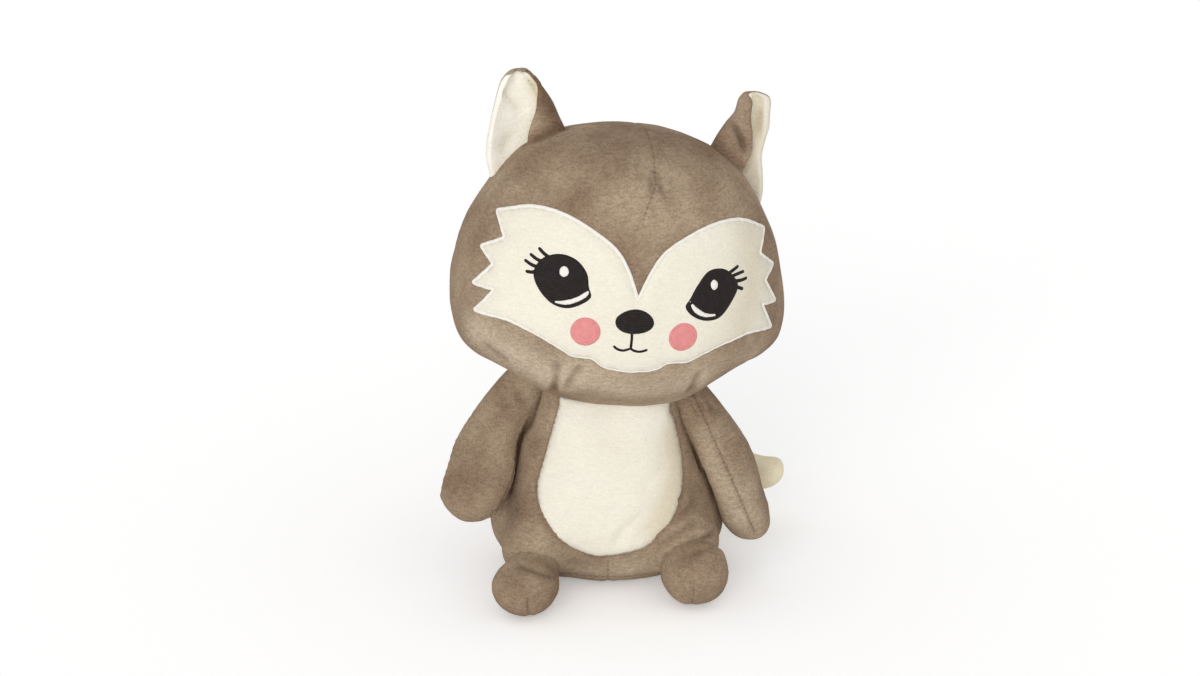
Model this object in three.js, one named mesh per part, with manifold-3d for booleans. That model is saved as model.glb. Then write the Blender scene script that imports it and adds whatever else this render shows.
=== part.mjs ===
// A seated plush animal: short-pile fabric panels sewn round fibre filling, with an embroidered face.
// Millimetres, +Z up, facing -Y. The origin is the middle of the flat seat.
// Left and right are the animal's own: its left is +X.
import * as THREE from 'three';
import { mergeVertices } from 'three/addons/utils/BufferGeometryUtils.js';
import Module from 'manifold-3d';

const wasm = await Module();
wasm.setup();

// Fabric, thread and clearances
const FABRIC = 2.2;
const CLEARANCE = 0.3;
const MASK_FABRIC = 1.2;
const EMBROIDERY = 0.8;
const EDGING_WIDTH = 2.4;
const EDGING_HEIGHT = 1.7;

// Torso
const BODY_HALF_WIDTH = 65;
const BODY_HALF_DEPTH = 50;
const BODY_WIDEST_Z = 35;
const BODY_TOP_Z = 98;
const BODY_SHOULDER_POWER = 5;
const BODY_SHOULDER_TAPER = 0.3;
const BODY_SECTION_POWER = 2.2;
const SEAT_HALF_WIDTH = 41;
const SEAT_HALF_DEPTH = 30;
const SEAT_SEAM_Z = 9;
const BELLY_HALF_WIDTH = 39.5;
const BELLY_TOP_HALF_WIDTH = 32;
const BELLY_BOTTOM_Z = 23.5;
const BELLY_WIDEST_Z = 58;
const BELLY_DROP = 6;
const BELLY_TOP_Z = BODY_TOP_Z - BELLY_DROP;
const BELLY_LOW_HANDLE = 20;
const BELLY_HIGH_HANDLE = 16;
const BELLY_TOP_HANDLE = new THREE.Vector2(3, 8);
const BAG_HALF_WIDTH = 30;
const BAG_HALF_DEPTH = 26;
const BAG_HEIGHT = 24;

// Neck, sunk into the top of the torso and reaching into the head
const NECK_HALF_WIDTH = 37;
const NECK_HALF_DEPTH = 29;
const NECK_BULGE = 3;
const NECK_SUNK = 14;
const NECK_LENGTH = 32;
const NECK_BOTTOM_Z = BODY_TOP_Z - NECK_SUNK;
const NECK_TOP_Z = NECK_BOTTOM_Z + NECK_LENGTH;

// Head, about its own middle at the cheek line
const HEAD_HALF_WIDTH = 91;
const HEAD_HALF_DEPTH = 72;
const HEAD_RISE = 87;
const HEAD_DROP = 64;
const HEAD_CROWN_TAPER = 0.2;
const HEAD_CROWN_POWER = 3;
const HEAD_JAW_POWER = 2.1;
const HEAD_SECTION_POWER = 2.2;
const HEAD_ABOVE_BODY = 4;
const HEAD_MIDDLE = new THREE.Vector3(4, -6, BODY_TOP_Z + HEAD_ABOVE_BODY + HEAD_DROP);
const HEAD_TURN_DEG = 8;
const HEAD_TILT_DEG = 6;
const HEAD_SEAM_Y = 4;
const HEAD_SWAY = 8;

// Arms, from the middle of the rounded shoulder end to the tip of the paw
const ARM_LENGTH = 74.5;
const ARM_SHOULDER_RADIUS = 14.5;
const ARM_PAW_HALF_WIDTH = 18;
const ARM_PAW_HALF_THICKNESS = 14;
const SHOULDER_Y = -4;
const RIGHT_SHOULDER_INSET = 11;
const RIGHT_SHOULDER_DROP = 2;
const RIGHT_SHOULDER = new THREE.Vector3(RIGHT_SHOULDER_INSET - BODY_HALF_WIDTH, SHOULDER_Y,
  BODY_TOP_Z - RIGHT_SHOULDER_DROP);
const RIGHT_ARM_AIM = new THREE.Vector3(-27, -33, -56);
const RIGHT_ARM_BROADSIDE = new THREE.Vector3(-0.3, -1, 0.4);
const LEFT_SHOULDER_INSET = 12;
const LEFT_SHOULDER_DROP = 11;
const LEFT_SHOULDER = new THREE.Vector3(BODY_HALF_WIDTH - LEFT_SHOULDER_INSET, SHOULDER_Y,
  BODY_TOP_Z - LEFT_SHOULDER_DROP);
const LEFT_ARM_AIM = new THREE.Vector3(34, -14, -76);
const LEFT_ARM_BROADSIDE = new THREE.Vector3(1, -0.3, 0.4);
const ARM_LIFT_DEG = [0, 50];
const ARM_LIFT_AXIS = new THREE.Vector3(-0.82, -0.57, 0);

// Share of a limb's straight length over which it swells to its full width
const LIMB_SWELL_SHARE = 0.8;

// Legs, from the middle of the rounded hip end to the tip of the foot
const LEG_LENGTH = 45;
const LEG_HIP_RADIUS = 16;
const LEG_FOOT_HALF_WIDTH = 18.5;
const LEG_FOOT_HALF_HEIGHT = 15;
const LEG_FLAT = 0.5;
const LEG_PINCH_DEG = 30;
const HIP_Z = 18;
const RIGHT_HIP_INSET = 25;
const RIGHT_HIP_SETBACK = 10;
const RIGHT_HIP = new THREE.Vector3(RIGHT_HIP_INSET - BODY_HALF_WIDTH,
  RIGHT_HIP_SETBACK - BODY_HALF_DEPTH, HIP_Z);
const RIGHT_LEG_SPLAY_DEG = -4;
const LEFT_HIP_INSET = 23;
const LEFT_HIP_SETBACK = 14;
const LEFT_HIP = new THREE.Vector3(BODY_HALF_WIDTH - LEFT_HIP_INSET,
  LEFT_HIP_SETBACK - BODY_HALF_DEPTH, HIP_Z);
const LEFT_LEG_SPLAY_DEG = 6;

// Tail
const TAIL_ROOT_SETBACK = 3;
const TAIL_ROOT = new THREE.Vector3(8, BODY_HALF_DEPTH - TAIL_ROOT_SETBACK, 26);
const TAIL_BEND = new THREE.Vector3(30, 51, -4).add(TAIL_ROOT);
const TAIL_END = new THREE.Vector3(93, -9, 10).add(TAIL_ROOT);
const TAIL_ROOT_RADIUS = 10;
const TAIL_RADIUS = 13;
const TAIL_PINCH_DEG = 38;
const TAIL_TIP_SHARE = 0.66;
const TAIL_SWELL_SHARE = 0.45;
const TAIL_ROUND_SHARE = 0.8;

// Ears, in the head's own frame
const EAR_INSET = 45;
const EAR_SUNK = 16;
const EAR_BASE = new THREE.Vector3(HEAD_HALF_WIDTH - EAR_INSET, 8, HEAD_RISE - EAR_SUNK);
const EAR_LEAN_DEG = 20;
const EAR_BACK_THICKNESS = 3.2;
const EAR_TIP_THICKNESS = 2.2;
const EAR_CURL = 4.6;
const EAR_TIP_CURL = 3.1;
const EAR_BOW = 4;
// Levels up each ear: height, then how far out from the ear's axis its outer rim, its flap's rim and its
// fold lie
const EAR_LEVELS = {
  right: [[-30, 31, 8, -15], [-6, 30.7, 7.5, -15.3], [4, 29.8, 6.8, -15.1], [14, 26.6, 3.8, -13.7],
    [25, 21.4, -4.4, -11.4], [33, 16.8, -6.4, -9.4], [39, 13.4, -5.4, -7], [42, 11.2, -3, -4.9],
    [44, 8.6, -0.8, -3]],
  left: [[-30, 38, 18, -4], [-6, 34.3, 17, -4], [4, 29.2, 16.6, -3.8], [13, 24.2, 16.6, -3.2],
    [22, 22, 12.6, -1.9], [28.5, 20, 8, -0.4], [35, 16.8, 4.4, -1.7], [39.5, 14, 2, -1.2],
    [42, 11.2, 1.2, 0.2]],
};
const EAR_FOLD_DEG = 12;

// Face, in the head's own frame seen from the front: x to the animal's left, z up
const EYE = new THREE.Vector2(39, 19.3);
const EYE_RADIUS = 13.4;
const EYE_CORNER = new THREE.Vector2(-14.6, -5.6);
const LASH_WIDTH = 2;
const LASH_INNER = 11;
const LASH_OUTER = [18.9, 19.7, 20.3, 18.3];
const LASH_ANGLES_DEG = [47, 32, 19, 5];
const GLINT_HALF_WIDTH = 2.5;
const GLINT_HALF_HEIGHT = 3;
const GLINT = new THREE.Vector2(0, 5.2);
const CRESCENT_RADIUS = 10.9;
const CRESCENT_SHIFT = new THREE.Vector2(1.4, 2.9);
const CRESCENT_FROM_DEG = 196;
const CRESCENT_TO_DEG = 292;
const NOSE_Z = 4;
const NOSE_HALF_WIDTH = 9.8;
const NOSE_HALF_HEIGHT = 6.2;
const MOUTH_Z = -10.4;
const MOUTH_HALF_WIDTH = 8.7;
const MOUTH_DIP = 3.2;
const MOUTH_LINE = 1.8;
const CHEEK = new THREE.Vector2(25.3, -3.9);
const CHEEK_RADIUS = 7.6;
const MASK_V_Z = 14.3;
const MASK_BROW_X = 30;
const MASK_BROW_Z = 48.5;
const MASK_ZIGZAG = [[71, 45], [67.3, 34.5], [78, 26], [72, 20], [81, 6.7], [71, 8], [79.5, -6.8]];
const MASK_JAW_X = 50;
const MASK_JAW_Z = -9.5;
const MASK_CHIN_Z = -25.8;
const MASK_V_HANDLE = [4, 14];
const MASK_BROW_HANDLES = [[-16, -6.5], [12, 5]];
const MASK_TIP_HANDLE = [-15, 9];
const MASK_JAW_HANDLES = [[12, 5.5], [-20, -9.3]];
const MASK_CHIN_HANDLE = 20;

// Facets
const HEAD_SIDES = 20;
const HEAD_ROWS = 12;
const BODY_SIDES = 18;
const BODY_ROWS = 10;
const LINER_SHARE = 0.6;
const LIMB_SIDES = 10;
const LIMB_INNER_SIDES = 7;
const LIMB_END_ROWS = 3;
const BAG_SIDES = 16;
const LIMB_MID_ROWS = 3;
const BALL_DETAIL = 1;
const TURN_STEP_DEG = 20;
const FAR = 400;

const radians = THREE.MathUtils.degToRad;

// Pile fabric and thread finishes
const finish = (color, roughness) => new THREE.MeshStandardMaterial({ color, roughness, metalness: 0 });
const TAUPE_PLUSH = finish(0x968472, 0.95);
const CREAM_PLUSH = finish(0xf2eee0, 0.95);
const BLACK_THREAD = finish(0x262121, 0.6);
const WHITE_THREAD = finish(0xfaf7f5, 0.6);
const PINK_THREAD = finish(0xe47d8a, 0.6);
const FIBRE = finish(0xf7f7f4, 1);
const BAG_CLOTH = finish(0xe6e2d8, 0.9);

// A closed three.js geometry as a solid that can be joined and cut
function solid(geometry) {
  const bare = new THREE.BufferGeometry();
  bare.setAttribute('position', geometry.getAttribute('position').clone());
  bare.setIndex(geometry.getIndex());
  const merged = mergeVertices(bare, 1e-4);
  return new wasm.Manifold(new wasm.Mesh({
    numProp: 3,
    vertProperties: new Float32Array(merged.getAttribute('position').array),
    triVerts: new Uint32Array(merged.getIndex().array),
  }));
}

function mesh(name, shape, material) {
  const { vertProperties, triVerts } = shape.getMesh();
  const geometry = new THREE.BufferGeometry();
  geometry.setAttribute('position', new THREE.BufferAttribute(new Float32Array(vertProperties), 3));
  geometry.setIndex(new THREE.BufferAttribute(new Uint32Array(triVerts), 1));
  geometry.computeVertexNormals();
  const piece = new THREE.Mesh(geometry, material);
  piece.name = name;
  return piece;
}

function geometryOf(points, triangles) {
  const geometry = new THREE.BufferGeometry();
  geometry.setFromPoints(points);
  geometry.setIndex(triangles);
  return geometry;
}

// A closed form over rings of equal count, with an end point under the first and over the last
function ringForm(rings, firstPoint, lastPoint) {
  const sides = rings[0].length;
  const points = [...rings.flat(), firstPoint, lastPoint];
  const first = points.length - 2;
  const last = points.length - 1;
  const triangles = [];
  for (let side = 0; side < sides; side += 1) {
    const next = (side + 1) % sides;
    triangles.push(first, next, side);
    for (let row = 0; row + 1 < rings.length; row += 1) {
      const low = row * sides;
      const high = low + sides;
      triangles.push(low + side, low + next, high + next, low + side, high + next, high + side);
    }
    const top = (rings.length - 1) * sides;
    triangles.push(top + side, top + next, last);
  }
  return solid(geometryOf(points, triangles));
}

// A sheet with two faces, each a grid of points, closed round its border
function sheetForm(outerGrid, innerGrid) {
  const rows = outerGrid.length;
  const columns = outerGrid[0].length;
  const points = [...outerGrid.flat(), ...innerGrid.flat()];
  const inner = rows * columns;
  const triangles = [];
  const quad = (a, b, c, d) => triangles.push(a, b, c, a, c, d);
  for (let row = 0; row + 1 < rows; row += 1) {
    for (let column = 0; column + 1 < columns; column += 1) {
      const a = row * columns + column;
      const b = a + columns;
      quad(a, a + 1, b + 1, b);
      quad(inner + a, inner + b, inner + b + 1, inner + a + 1);
    }
    const left = row * columns;
    const right = left + columns - 1;
    quad(left, left + columns, inner + left + columns, inner + left);
    quad(right, inner + right, inner + right + columns, right + columns);
  }
  for (let column = 0; column + 1 < columns; column += 1) {
    const top = (rows - 1) * columns + column;
    quad(column, inner + column, inner + column + 1, column + 1);
    quad(top, top + 1, inner + top + 1, inner + top);
  }
  return solid(geometryOf(points, triangles));
}

// All that lies beyond a plane through a point, on the side that its normal points to
function beyond(point, normal) {
  const box = new THREE.BoxGeometry(FAR, FAR, FAR).translate(0, 0, FAR / 2);
  const up = new THREE.Vector3(0, 0, 1);
  const turn = new THREE.Quaternion().setFromUnitVectors(up, normal.clone().normalize());
  return solid(box.applyQuaternion(turn).translate(point.x, point.y, point.z));
}

// A ball whose corners lie on the true sphere
function ball(middle, radius) {
  return solid(new THREE.IcosahedronGeometry(radius, BALL_DETAIL).translate(middle.x, middle.y, middle.z));
}

// A hollow whose facets lie outside the true sphere, so that a ball turns in it
function hollow(middle, radius) {
  const facetSag = 1.071;
  return ball(middle, radius * facetSag);
}

const joined = (shapes) => shapes.reduce((whole, next) => whole.add(next));

// What is left of a cut form, without loose scraps
function largest(shape) {
  const scraps = shape.decompose().sort((a, b) => b.volume() - a.volume());
  return scraps[0];
}

// An outline in the front view, drawn through the space in front of the middle plane
function prism(shape, curveSegments = 6) {
  const extruded = new THREE.ExtrudeGeometry(shape, { depth: FAR, bevelEnabled: false, curveSegments });
  return solid(extruded.rotateX(Math.PI / 2));
}

function ovalRing(sides, halfWidth, halfDepth, power, place) {
  return Array.from({ length: sides }, (_, side) => {
    const angle = (2 * Math.PI * side) / sides;
    const along = (value) => Math.sign(value) * Math.abs(value) ** (2 / power);
    return place(halfWidth * along(Math.cos(angle)), halfDepth * along(Math.sin(angle)));
  });
}

// Head form: a broad bun, heavy at the cheeks and tapering to the crown
function headForm(grow, sides = HEAD_SIDES, rows = HEAD_ROWS) {
  const rise = HEAD_RISE + grow;
  const drop = HEAD_DROP + grow;
  const rings = [];
  for (let row = 1; row < rows; row += 1) {
    const slope = -Math.PI / 2 + (Math.PI * row) / rows;
    const high = slope > 0;
    const power = 2 / (high ? HEAD_CROWN_POWER : HEAD_JAW_POWER);
    const share = Math.abs(Math.sin(slope)) ** power;
    const breadth = Math.cos(slope) ** power * (high ? 1 - HEAD_CROWN_TAPER * share : 1);
    const z = high ? rise * share : -drop * share;
    rings.push(ovalRing(sides, (HEAD_HALF_WIDTH + grow) * breadth, (HEAD_HALF_DEPTH + grow) * breadth,
      HEAD_SECTION_POWER, (x, y) => new THREE.Vector3(x, y, z)));
  }
  return ringForm(rings, new THREE.Vector3(0, 0, -drop), new THREE.Vector3(0, 0, rise));
}

// Torso form: a pear that sits on a flat seat
function bodyForm(grow, sides = BODY_SIDES, rows = BODY_ROWS) {
  const rings = [];
  const lowRows = Math.round(rows * 0.4);
  const highRows = rows - lowRows;
  const ring = (halfWidth, halfDepth, z) => rings.push(ovalRing(sides, halfWidth + grow, halfDepth + grow,
    BODY_SECTION_POWER, (x, y) => new THREE.Vector3(x, y, z)));
  for (let row = 0; row < lowRows; row += 1) {
    const slope = (Math.PI / 2) * (row / lowRows);
    const swell = Math.sin(slope);
    ring(THREE.MathUtils.lerp(SEAT_HALF_WIDTH, BODY_HALF_WIDTH, swell),
      THREE.MathUtils.lerp(SEAT_HALF_DEPTH, BODY_HALF_DEPTH, swell),
      THREE.MathUtils.lerp(-grow, BODY_WIDEST_Z, 1 - Math.cos(slope)));
  }
  for (let row = 0; row < highRows; row += 1) {
    const slope = (Math.PI / 2) * (row / highRows);
    const share = Math.sin(slope) ** (2 / BODY_SHOULDER_POWER);
    const breadth = Math.cos(slope) ** (2 / BODY_SHOULDER_POWER) * (1 - BODY_SHOULDER_TAPER * share);
    ring(BODY_HALF_WIDTH * breadth, BODY_HALF_DEPTH * breadth,
      THREE.MathUtils.lerp(BODY_WIDEST_Z, BODY_TOP_Z + grow, share));
  }
  return ringForm(rings, new THREE.Vector3(0, 0, -grow), new THREE.Vector3(0, 0, BODY_TOP_Z + grow));
}

// A straight stuffed limb: a round root, the pinch of the seam past it, a swell and a rounded tip
function limbForm(limb, grow, sides) {
  const rootRadius = limb.rootRadius + grow;
  const endLength = limb.halfWidth + grow;
  const swellLength = limb.length + grow - endLength;
  const rings = [];
  const ring = (along, halfWidth, halfThickness) => {
    const middle = limb.root.clone().addScaledVector(limb.aim, along);
    rings.push(ovalRing(sides, halfWidth, halfThickness, 2,
      (x, y) => middle.clone().addScaledVector(limb.width, x).addScaledVector(limb.broadside, y)));
  };
  const pinch = radians(limb.pinchDeg);
  for (let row = 1; row <= LIMB_END_ROWS; row += 1) {
    const slope = (Math.PI / 2 + pinch) * (row / LIMB_END_ROWS);
    const radius = rootRadius * Math.sin(slope);
    ring(-rootRadius * Math.cos(slope), radius, radius);
  }
  const pinchAt = rootRadius * Math.sin(pinch);
  const pinchRadius = rootRadius * Math.cos(pinch);
  for (let row = 1; row <= LIMB_MID_ROWS; row += 1) {
    const share = row / LIMB_MID_ROWS;
    const swell = THREE.MathUtils.smoothstep(share, 0, LIMB_SWELL_SHARE);
    ring(THREE.MathUtils.lerp(pinchAt, swellLength, share),
      THREE.MathUtils.lerp(pinchRadius, limb.halfWidth + grow, swell),
      THREE.MathUtils.lerp(pinchRadius, limb.halfThickness + grow, swell));
  }
  for (let row = 1; row < LIMB_END_ROWS; row += 1) {
    const slope = (Math.PI / 2) * (row / LIMB_END_ROWS);
    ring(swellLength + endLength * Math.sin(slope),
      (limb.halfWidth + grow) * Math.cos(slope), (limb.halfThickness + grow) * Math.cos(slope));
  }
  const tip = (along) => limb.root.clone().addScaledVector(limb.aim, along);
  return ringForm(rings, tip(-rootRadius), tip(swellLength + endLength));
}

// A limb's directions: along it, across its broad side, and out of its broad side
function limbOf(root, aimed, outward, sizes, turns) {
  const aim = aimed.clone().normalize();
  const width = new THREE.Vector3().crossVectors(outward, aim).normalize();
  const broadside = new THREE.Vector3().crossVectors(aim, width);
  return { ...sizes, root, aim, width, broadside, turns };
}

// Steps over a range of turns about an axis, with both ends and the rest position
function turnsAbout(axis, [low, high]) {
  const lowSteps = Math.ceil(-low / TURN_STEP_DEG);
  const highSteps = Math.ceil(high / TURN_STEP_DEG);
  return Array.from({ length: lowSteps + highSteps + 1 }, (_, index) => {
    const step = index - lowSteps;
    const degrees = step < 0 ? (low * step) / -lowSteps : (high * step) / Math.max(1, highSteps);
    return new THREE.Matrix4().makeRotationAxis(axis, radians(degrees));
  });
}

// The torso as an arm meets it in all its turns about its root, less the hollow that the root turns in
function torsoPath(limb, grow) {
  const torsos = limb.turns.map((turn) => {
    const back = new THREE.Matrix4().makeTranslation(limb.root)
      .multiply(turn.clone().invert())
      .multiply(new THREE.Matrix4().makeTranslation(limb.root.clone().negate()));
    return bodyForm(CLEARANCE + grow).transform(back.elements);
  });
  return wasm.Manifold.union(torsos).subtract(ball(limb.root, limb.rootRadius - grow));
}

const ARM_SIZES = {
  length: ARM_LENGTH,
  rootRadius: ARM_SHOULDER_RADIUS,
  pinchDeg: 0,
  halfWidth: ARM_PAW_HALF_WIDTH,
  halfThickness: ARM_PAW_HALF_THICKNESS,
};
const LEG_SIZES = {
  length: LEG_LENGTH,
  rootRadius: LEG_HIP_RADIUS,
  pinchDeg: LEG_PINCH_DEG,
  halfWidth: LEG_FOOT_HALF_HEIGHT,
  halfThickness: LEG_FOOT_HALF_WIDTH,
};
function legAim(splayDeg) {
  const reach = LEG_LENGTH - LEG_FOOT_HALF_HEIGHT;
  const fall = HIP_Z - (LEG_FOOT_HALF_HEIGHT - LEG_FLAT);
  return new THREE.Vector3(0, -reach, -fall).applyAxisAngle(new THREE.Vector3(0, 0, 1), radians(splayDeg));
}
const axisX = new THREE.Vector3(1, 0, 0);
const axisY = new THREE.Vector3(0, 1, 0);
const axisZ = new THREE.Vector3(0, 0, 1);
const mirrored = (vector) => new THREE.Vector3(-vector.x, vector.y, vector.z);
const ARMS = {
  left: limbOf(LEFT_SHOULDER, LEFT_ARM_AIM, LEFT_ARM_BROADSIDE, ARM_SIZES,
    turnsAbout(ARM_LIFT_AXIS.clone().normalize(), ARM_LIFT_DEG)),
  right: limbOf(RIGHT_SHOULDER, RIGHT_ARM_AIM, RIGHT_ARM_BROADSIDE, ARM_SIZES,
    turnsAbout(mirrored(ARM_LIFT_AXIS).negate().normalize(), ARM_LIFT_DEG)),
};
const LEGS = {
  left: limbOf(LEFT_HIP, legAim(LEFT_LEG_SPLAY_DEG), axisX, LEG_SIZES, []),
  right: limbOf(RIGHT_HIP, legAim(RIGHT_LEG_SPLAY_DEG), axisX.clone().negate(), LEG_SIZES, []),
};

// Head frame: turned and tilted as the animal holds it
const headFrame = new THREE.Group();
headFrame.position.copy(HEAD_MIDDLE);
headFrame.rotation.set(0, radians(HEAD_TILT_DEG), radians(HEAD_TURN_DEG), 'ZYX');
headFrame.updateMatrixWorld();
const placedHead = (grow) => headForm(grow).transform(headFrame.matrixWorld.elements);

const toy = new THREE.Group();
toy.add(headFrame);

const halfGap = CLEARANCE / 2;
const linerSides = (sides) => Math.round(sides * LINER_SHARE);

// The four head panels and their filling
function addHead() {
  const liner = [linerSides(HEAD_SIDES), linerSides(HEAD_ROWS)];
  const skin = headForm(0).subtract(headForm(-FABRIC, ...liner));
  const front = skin.intersect(beyond(new THREE.Vector3(0, HEAD_SEAM_Y - halfGap, 0), axisY.clone().negate()));
  const back = skin.intersect(beyond(new THREE.Vector3(0, HEAD_SEAM_Y + halfGap, 0), axisY));
  const leftHalf = beyond(new THREE.Vector3(halfGap, 0, 0), axisX);
  const rightHalf = beyond(new THREE.Vector3(-halfGap, 0, 0), axisX.clone().negate());
  headFrame.add(
    mesh('head_front_left_panel', front.intersect(leftHalf), TAUPE_PLUSH),
    mesh('head_front_right_panel', front.intersect(rightHalf), TAUPE_PLUSH),
    mesh('head_back_left_panel', back.intersect(leftHalf), TAUPE_PLUSH),
    mesh('head_back_right_panel', back.intersect(rightHalf), TAUPE_PLUSH),
    mesh('head_filling', headForm(-FABRIC - CLEARANCE, ...liner), FIBRE),
  );
}

// A layer that lies on the head, from one height above the skin to another
const headLayer = (from, to) => headForm(to).subtract(headForm(from));

// The mask outline on one side, from the V between the brows to the middle of the chin
function maskOutline(inset) {
  const handle = ([x, z], [across, up]) => [x + across, z + up];
  const notch = [0, MASK_V_Z];
  const brow = [MASK_BROW_X, MASK_BROW_Z];
  const jaw = [MASK_JAW_X, MASK_JAW_Z];
  const [tip, ...teeth] = MASK_ZIGZAG;
  const half = new THREE.Path();
  half.moveTo(...notch);
  half.bezierCurveTo(...handle(notch, MASK_V_HANDLE), ...handle(brow, MASK_BROW_HANDLES[0]), ...brow);
  half.bezierCurveTo(...handle(brow, MASK_BROW_HANDLES[1]), ...handle(tip, MASK_TIP_HANDLE), ...tip);
  teeth.forEach((tooth) => half.lineTo(...tooth));
  half.quadraticCurveTo(...handle(jaw, MASK_JAW_HANDLES[0]), ...jaw);
  half.bezierCurveTo(...handle(jaw, MASK_JAW_HANDLES[1]), MASK_CHIN_HANDLE, MASK_CHIN_Z, 0, MASK_CHIN_Z);
  const side = half.getPoints(7);
  const mirrored = side.slice(1, -1).reverse().map((p) => new THREE.Vector2(-p.x, p.y));
  return new THREE.Shape(insetOutline([...side, ...mirrored], inset));
}

// A clockwise outline moved inwards, or outwards if negative, with mitred corners
function insetOutline(points, inset) {
  const count = points.length;
  const normalAt = (from, to) => {
    const edge = new THREE.Vector2().subVectors(to, from).normalize();
    return new THREE.Vector2(edge.y, -edge.x);
  };
  return points.map((point, index) => {
    const before = normalAt(points[(index + count - 1) % count], point);
    const after = normalAt(point, points[(index + 1) % count]);
    const mitre = new THREE.Vector2().addVectors(before, after);
    return point.clone().addScaledVector(mitre, inset / Math.max(0.4, 1 + before.dot(after)));
  });
}

// The cream mask and the satin-stitched edging round it
function addMask() {
  const mask = headLayer(CLEARANCE, CLEARANCE + MASK_FABRIC)
    .intersect(prism(maskOutline(EDGING_WIDTH / 2 + CLEARANCE)));
  const edging = headLayer(CLEARANCE, CLEARANCE + EDGING_HEIGHT)
    .intersect(prism(maskOutline(-EDGING_WIDTH / 2)))
    .subtract(prism(maskOutline(EDGING_WIDTH / 2)));
  headFrame.add(
    mesh('face_mask', mask, CREAM_PLUSH),
    mesh('face_mask_edging', edging, WHITE_THREAD),
  );
}

const embroideryBase = CLEARANCE + MASK_FABRIC + CLEARANCE;
const embroideryLayer = headLayer(embroideryBase, embroideryBase + EMBROIDERY);
const embroidered = (...shapes) => embroideryLayer.intersect(joined(shapes.map((shape) => prism(shape))));

function ovalShape(x, z, halfWidth, halfHeight) {
  return new THREE.Shape().absellipse(x, z, halfWidth, halfHeight, 0, 2 * Math.PI, false, 0);
}

function strokeShape(points, width) {
  const offset = (side) => points.map((point, index) => {
    const from = points[Math.max(0, index - 1)];
    const to = points[Math.min(points.length - 1, index + 1)];
    const edge = new THREE.Vector2().subVectors(to, from).normalize();
    return new THREE.Vector2(point.x - side * edge.y * width / 2, point.y + side * edge.x * width / 2);
  });
  return new THREE.Shape([...offset(1), ...offset(-1).reverse()]);
}

// An eye, given as the left one, with its lashes, glint and white crescent; side is -1 for the right eye
function addEye(name, side) {
  const at = (x, z) => new THREE.Vector2(side * (EYE.x + x), EYE.y + z);
  const ring = new THREE.Path().absarc(0, 0, EYE_RADIUS, radians(235), radians(525), false).getPoints(7);
  const outline = new THREE.Shape([...ring, EYE_CORNER].map((p) => at(p.x, p.y)));
  const lashes = LASH_ANGLES_DEG.map((degrees, index) => {
    const [cos, sin] = [Math.cos(radians(degrees)), Math.sin(radians(degrees))];
    const ends = [LASH_INNER, LASH_OUTER[index]].map((reach) => at(reach * cos, reach * sin));
    return strokeShape(ends, LASH_WIDTH);
  });
  const glint = (grow) => {
    const middle = at(GLINT.x, GLINT.y);
    return ovalShape(middle.x, middle.y, GLINT_HALF_WIDTH + grow, GLINT_HALF_HEIGHT + grow);
  };
  const crescent = (grow) => {
    const arc = (radius, shift, from, to) => new THREE.Path()
      .absarc(shift.x, shift.y, radius, radians(from), radians(to), to < from).getPoints(6);
    const reach = 2 * THREE.MathUtils.radToDeg(grow / CRESCENT_RADIUS);
    const [from, to] = [CRESCENT_FROM_DEG - reach, CRESCENT_TO_DEG + reach];
    const outer = arc(CRESCENT_RADIUS + grow, new THREE.Vector2(), from, to);
    const inner = arc(CRESCENT_RADIUS - grow, CRESCENT_SHIFT, to, from);
    return new THREE.Shape([...outer, ...inner].map((p) => at(p.x, p.y)));
  };
  const black = embroidered(outline, ...lashes)
    .subtract(prism(glint(CLEARANCE)))
    .subtract(prism(crescent(CLEARANCE)));
  headFrame.add(
    mesh(`${name}_eye`, black, BLACK_THREAD),
    mesh(`${name}_eye_glint`, embroidered(glint(0)), WHITE_THREAD),
    mesh(`${name}_eye_white`, embroidered(crescent(0)), WHITE_THREAD),
  );
}

function addNoseMouthAndCheeks() {
  const noseBottom = NOSE_Z - NOSE_HALF_HEIGHT;
  const lip = new THREE.Path();
  lip.moveTo(-MOUTH_HALF_WIDTH, MOUTH_Z);
  lip.quadraticCurveTo(-MOUTH_HALF_WIDTH / 2, MOUTH_Z - MOUTH_DIP, 0, MOUTH_Z);
  lip.quadraticCurveTo(MOUTH_HALF_WIDTH / 2, MOUTH_Z - MOUTH_DIP, MOUTH_HALF_WIDTH, MOUTH_Z);
  const line = [new THREE.Vector2(0, noseBottom - CLEARANCE), new THREE.Vector2(0, MOUTH_Z)];
  const nose = embroidered(ovalShape(0, NOSE_Z, NOSE_HALF_WIDTH, NOSE_HALF_HEIGHT));
  const mouth = embroidered(strokeShape(lip.getPoints(4), MOUTH_LINE), strokeShape(line, MOUTH_LINE));
  headFrame.add(mesh('nose', nose, BLACK_THREAD), mesh('mouth', mouth, BLACK_THREAD));
  for (const [name, side] of [['left', 1], ['right', -1]]) {
    const cheek = embroidered(ovalShape(side * CHEEK.x, CHEEK.y, CHEEK_RADIUS, CHEEK_RADIUS));
    headFrame.add(mesh(`${name}_cheek`, cheek, PINK_THREAD));
  }
}

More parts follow.
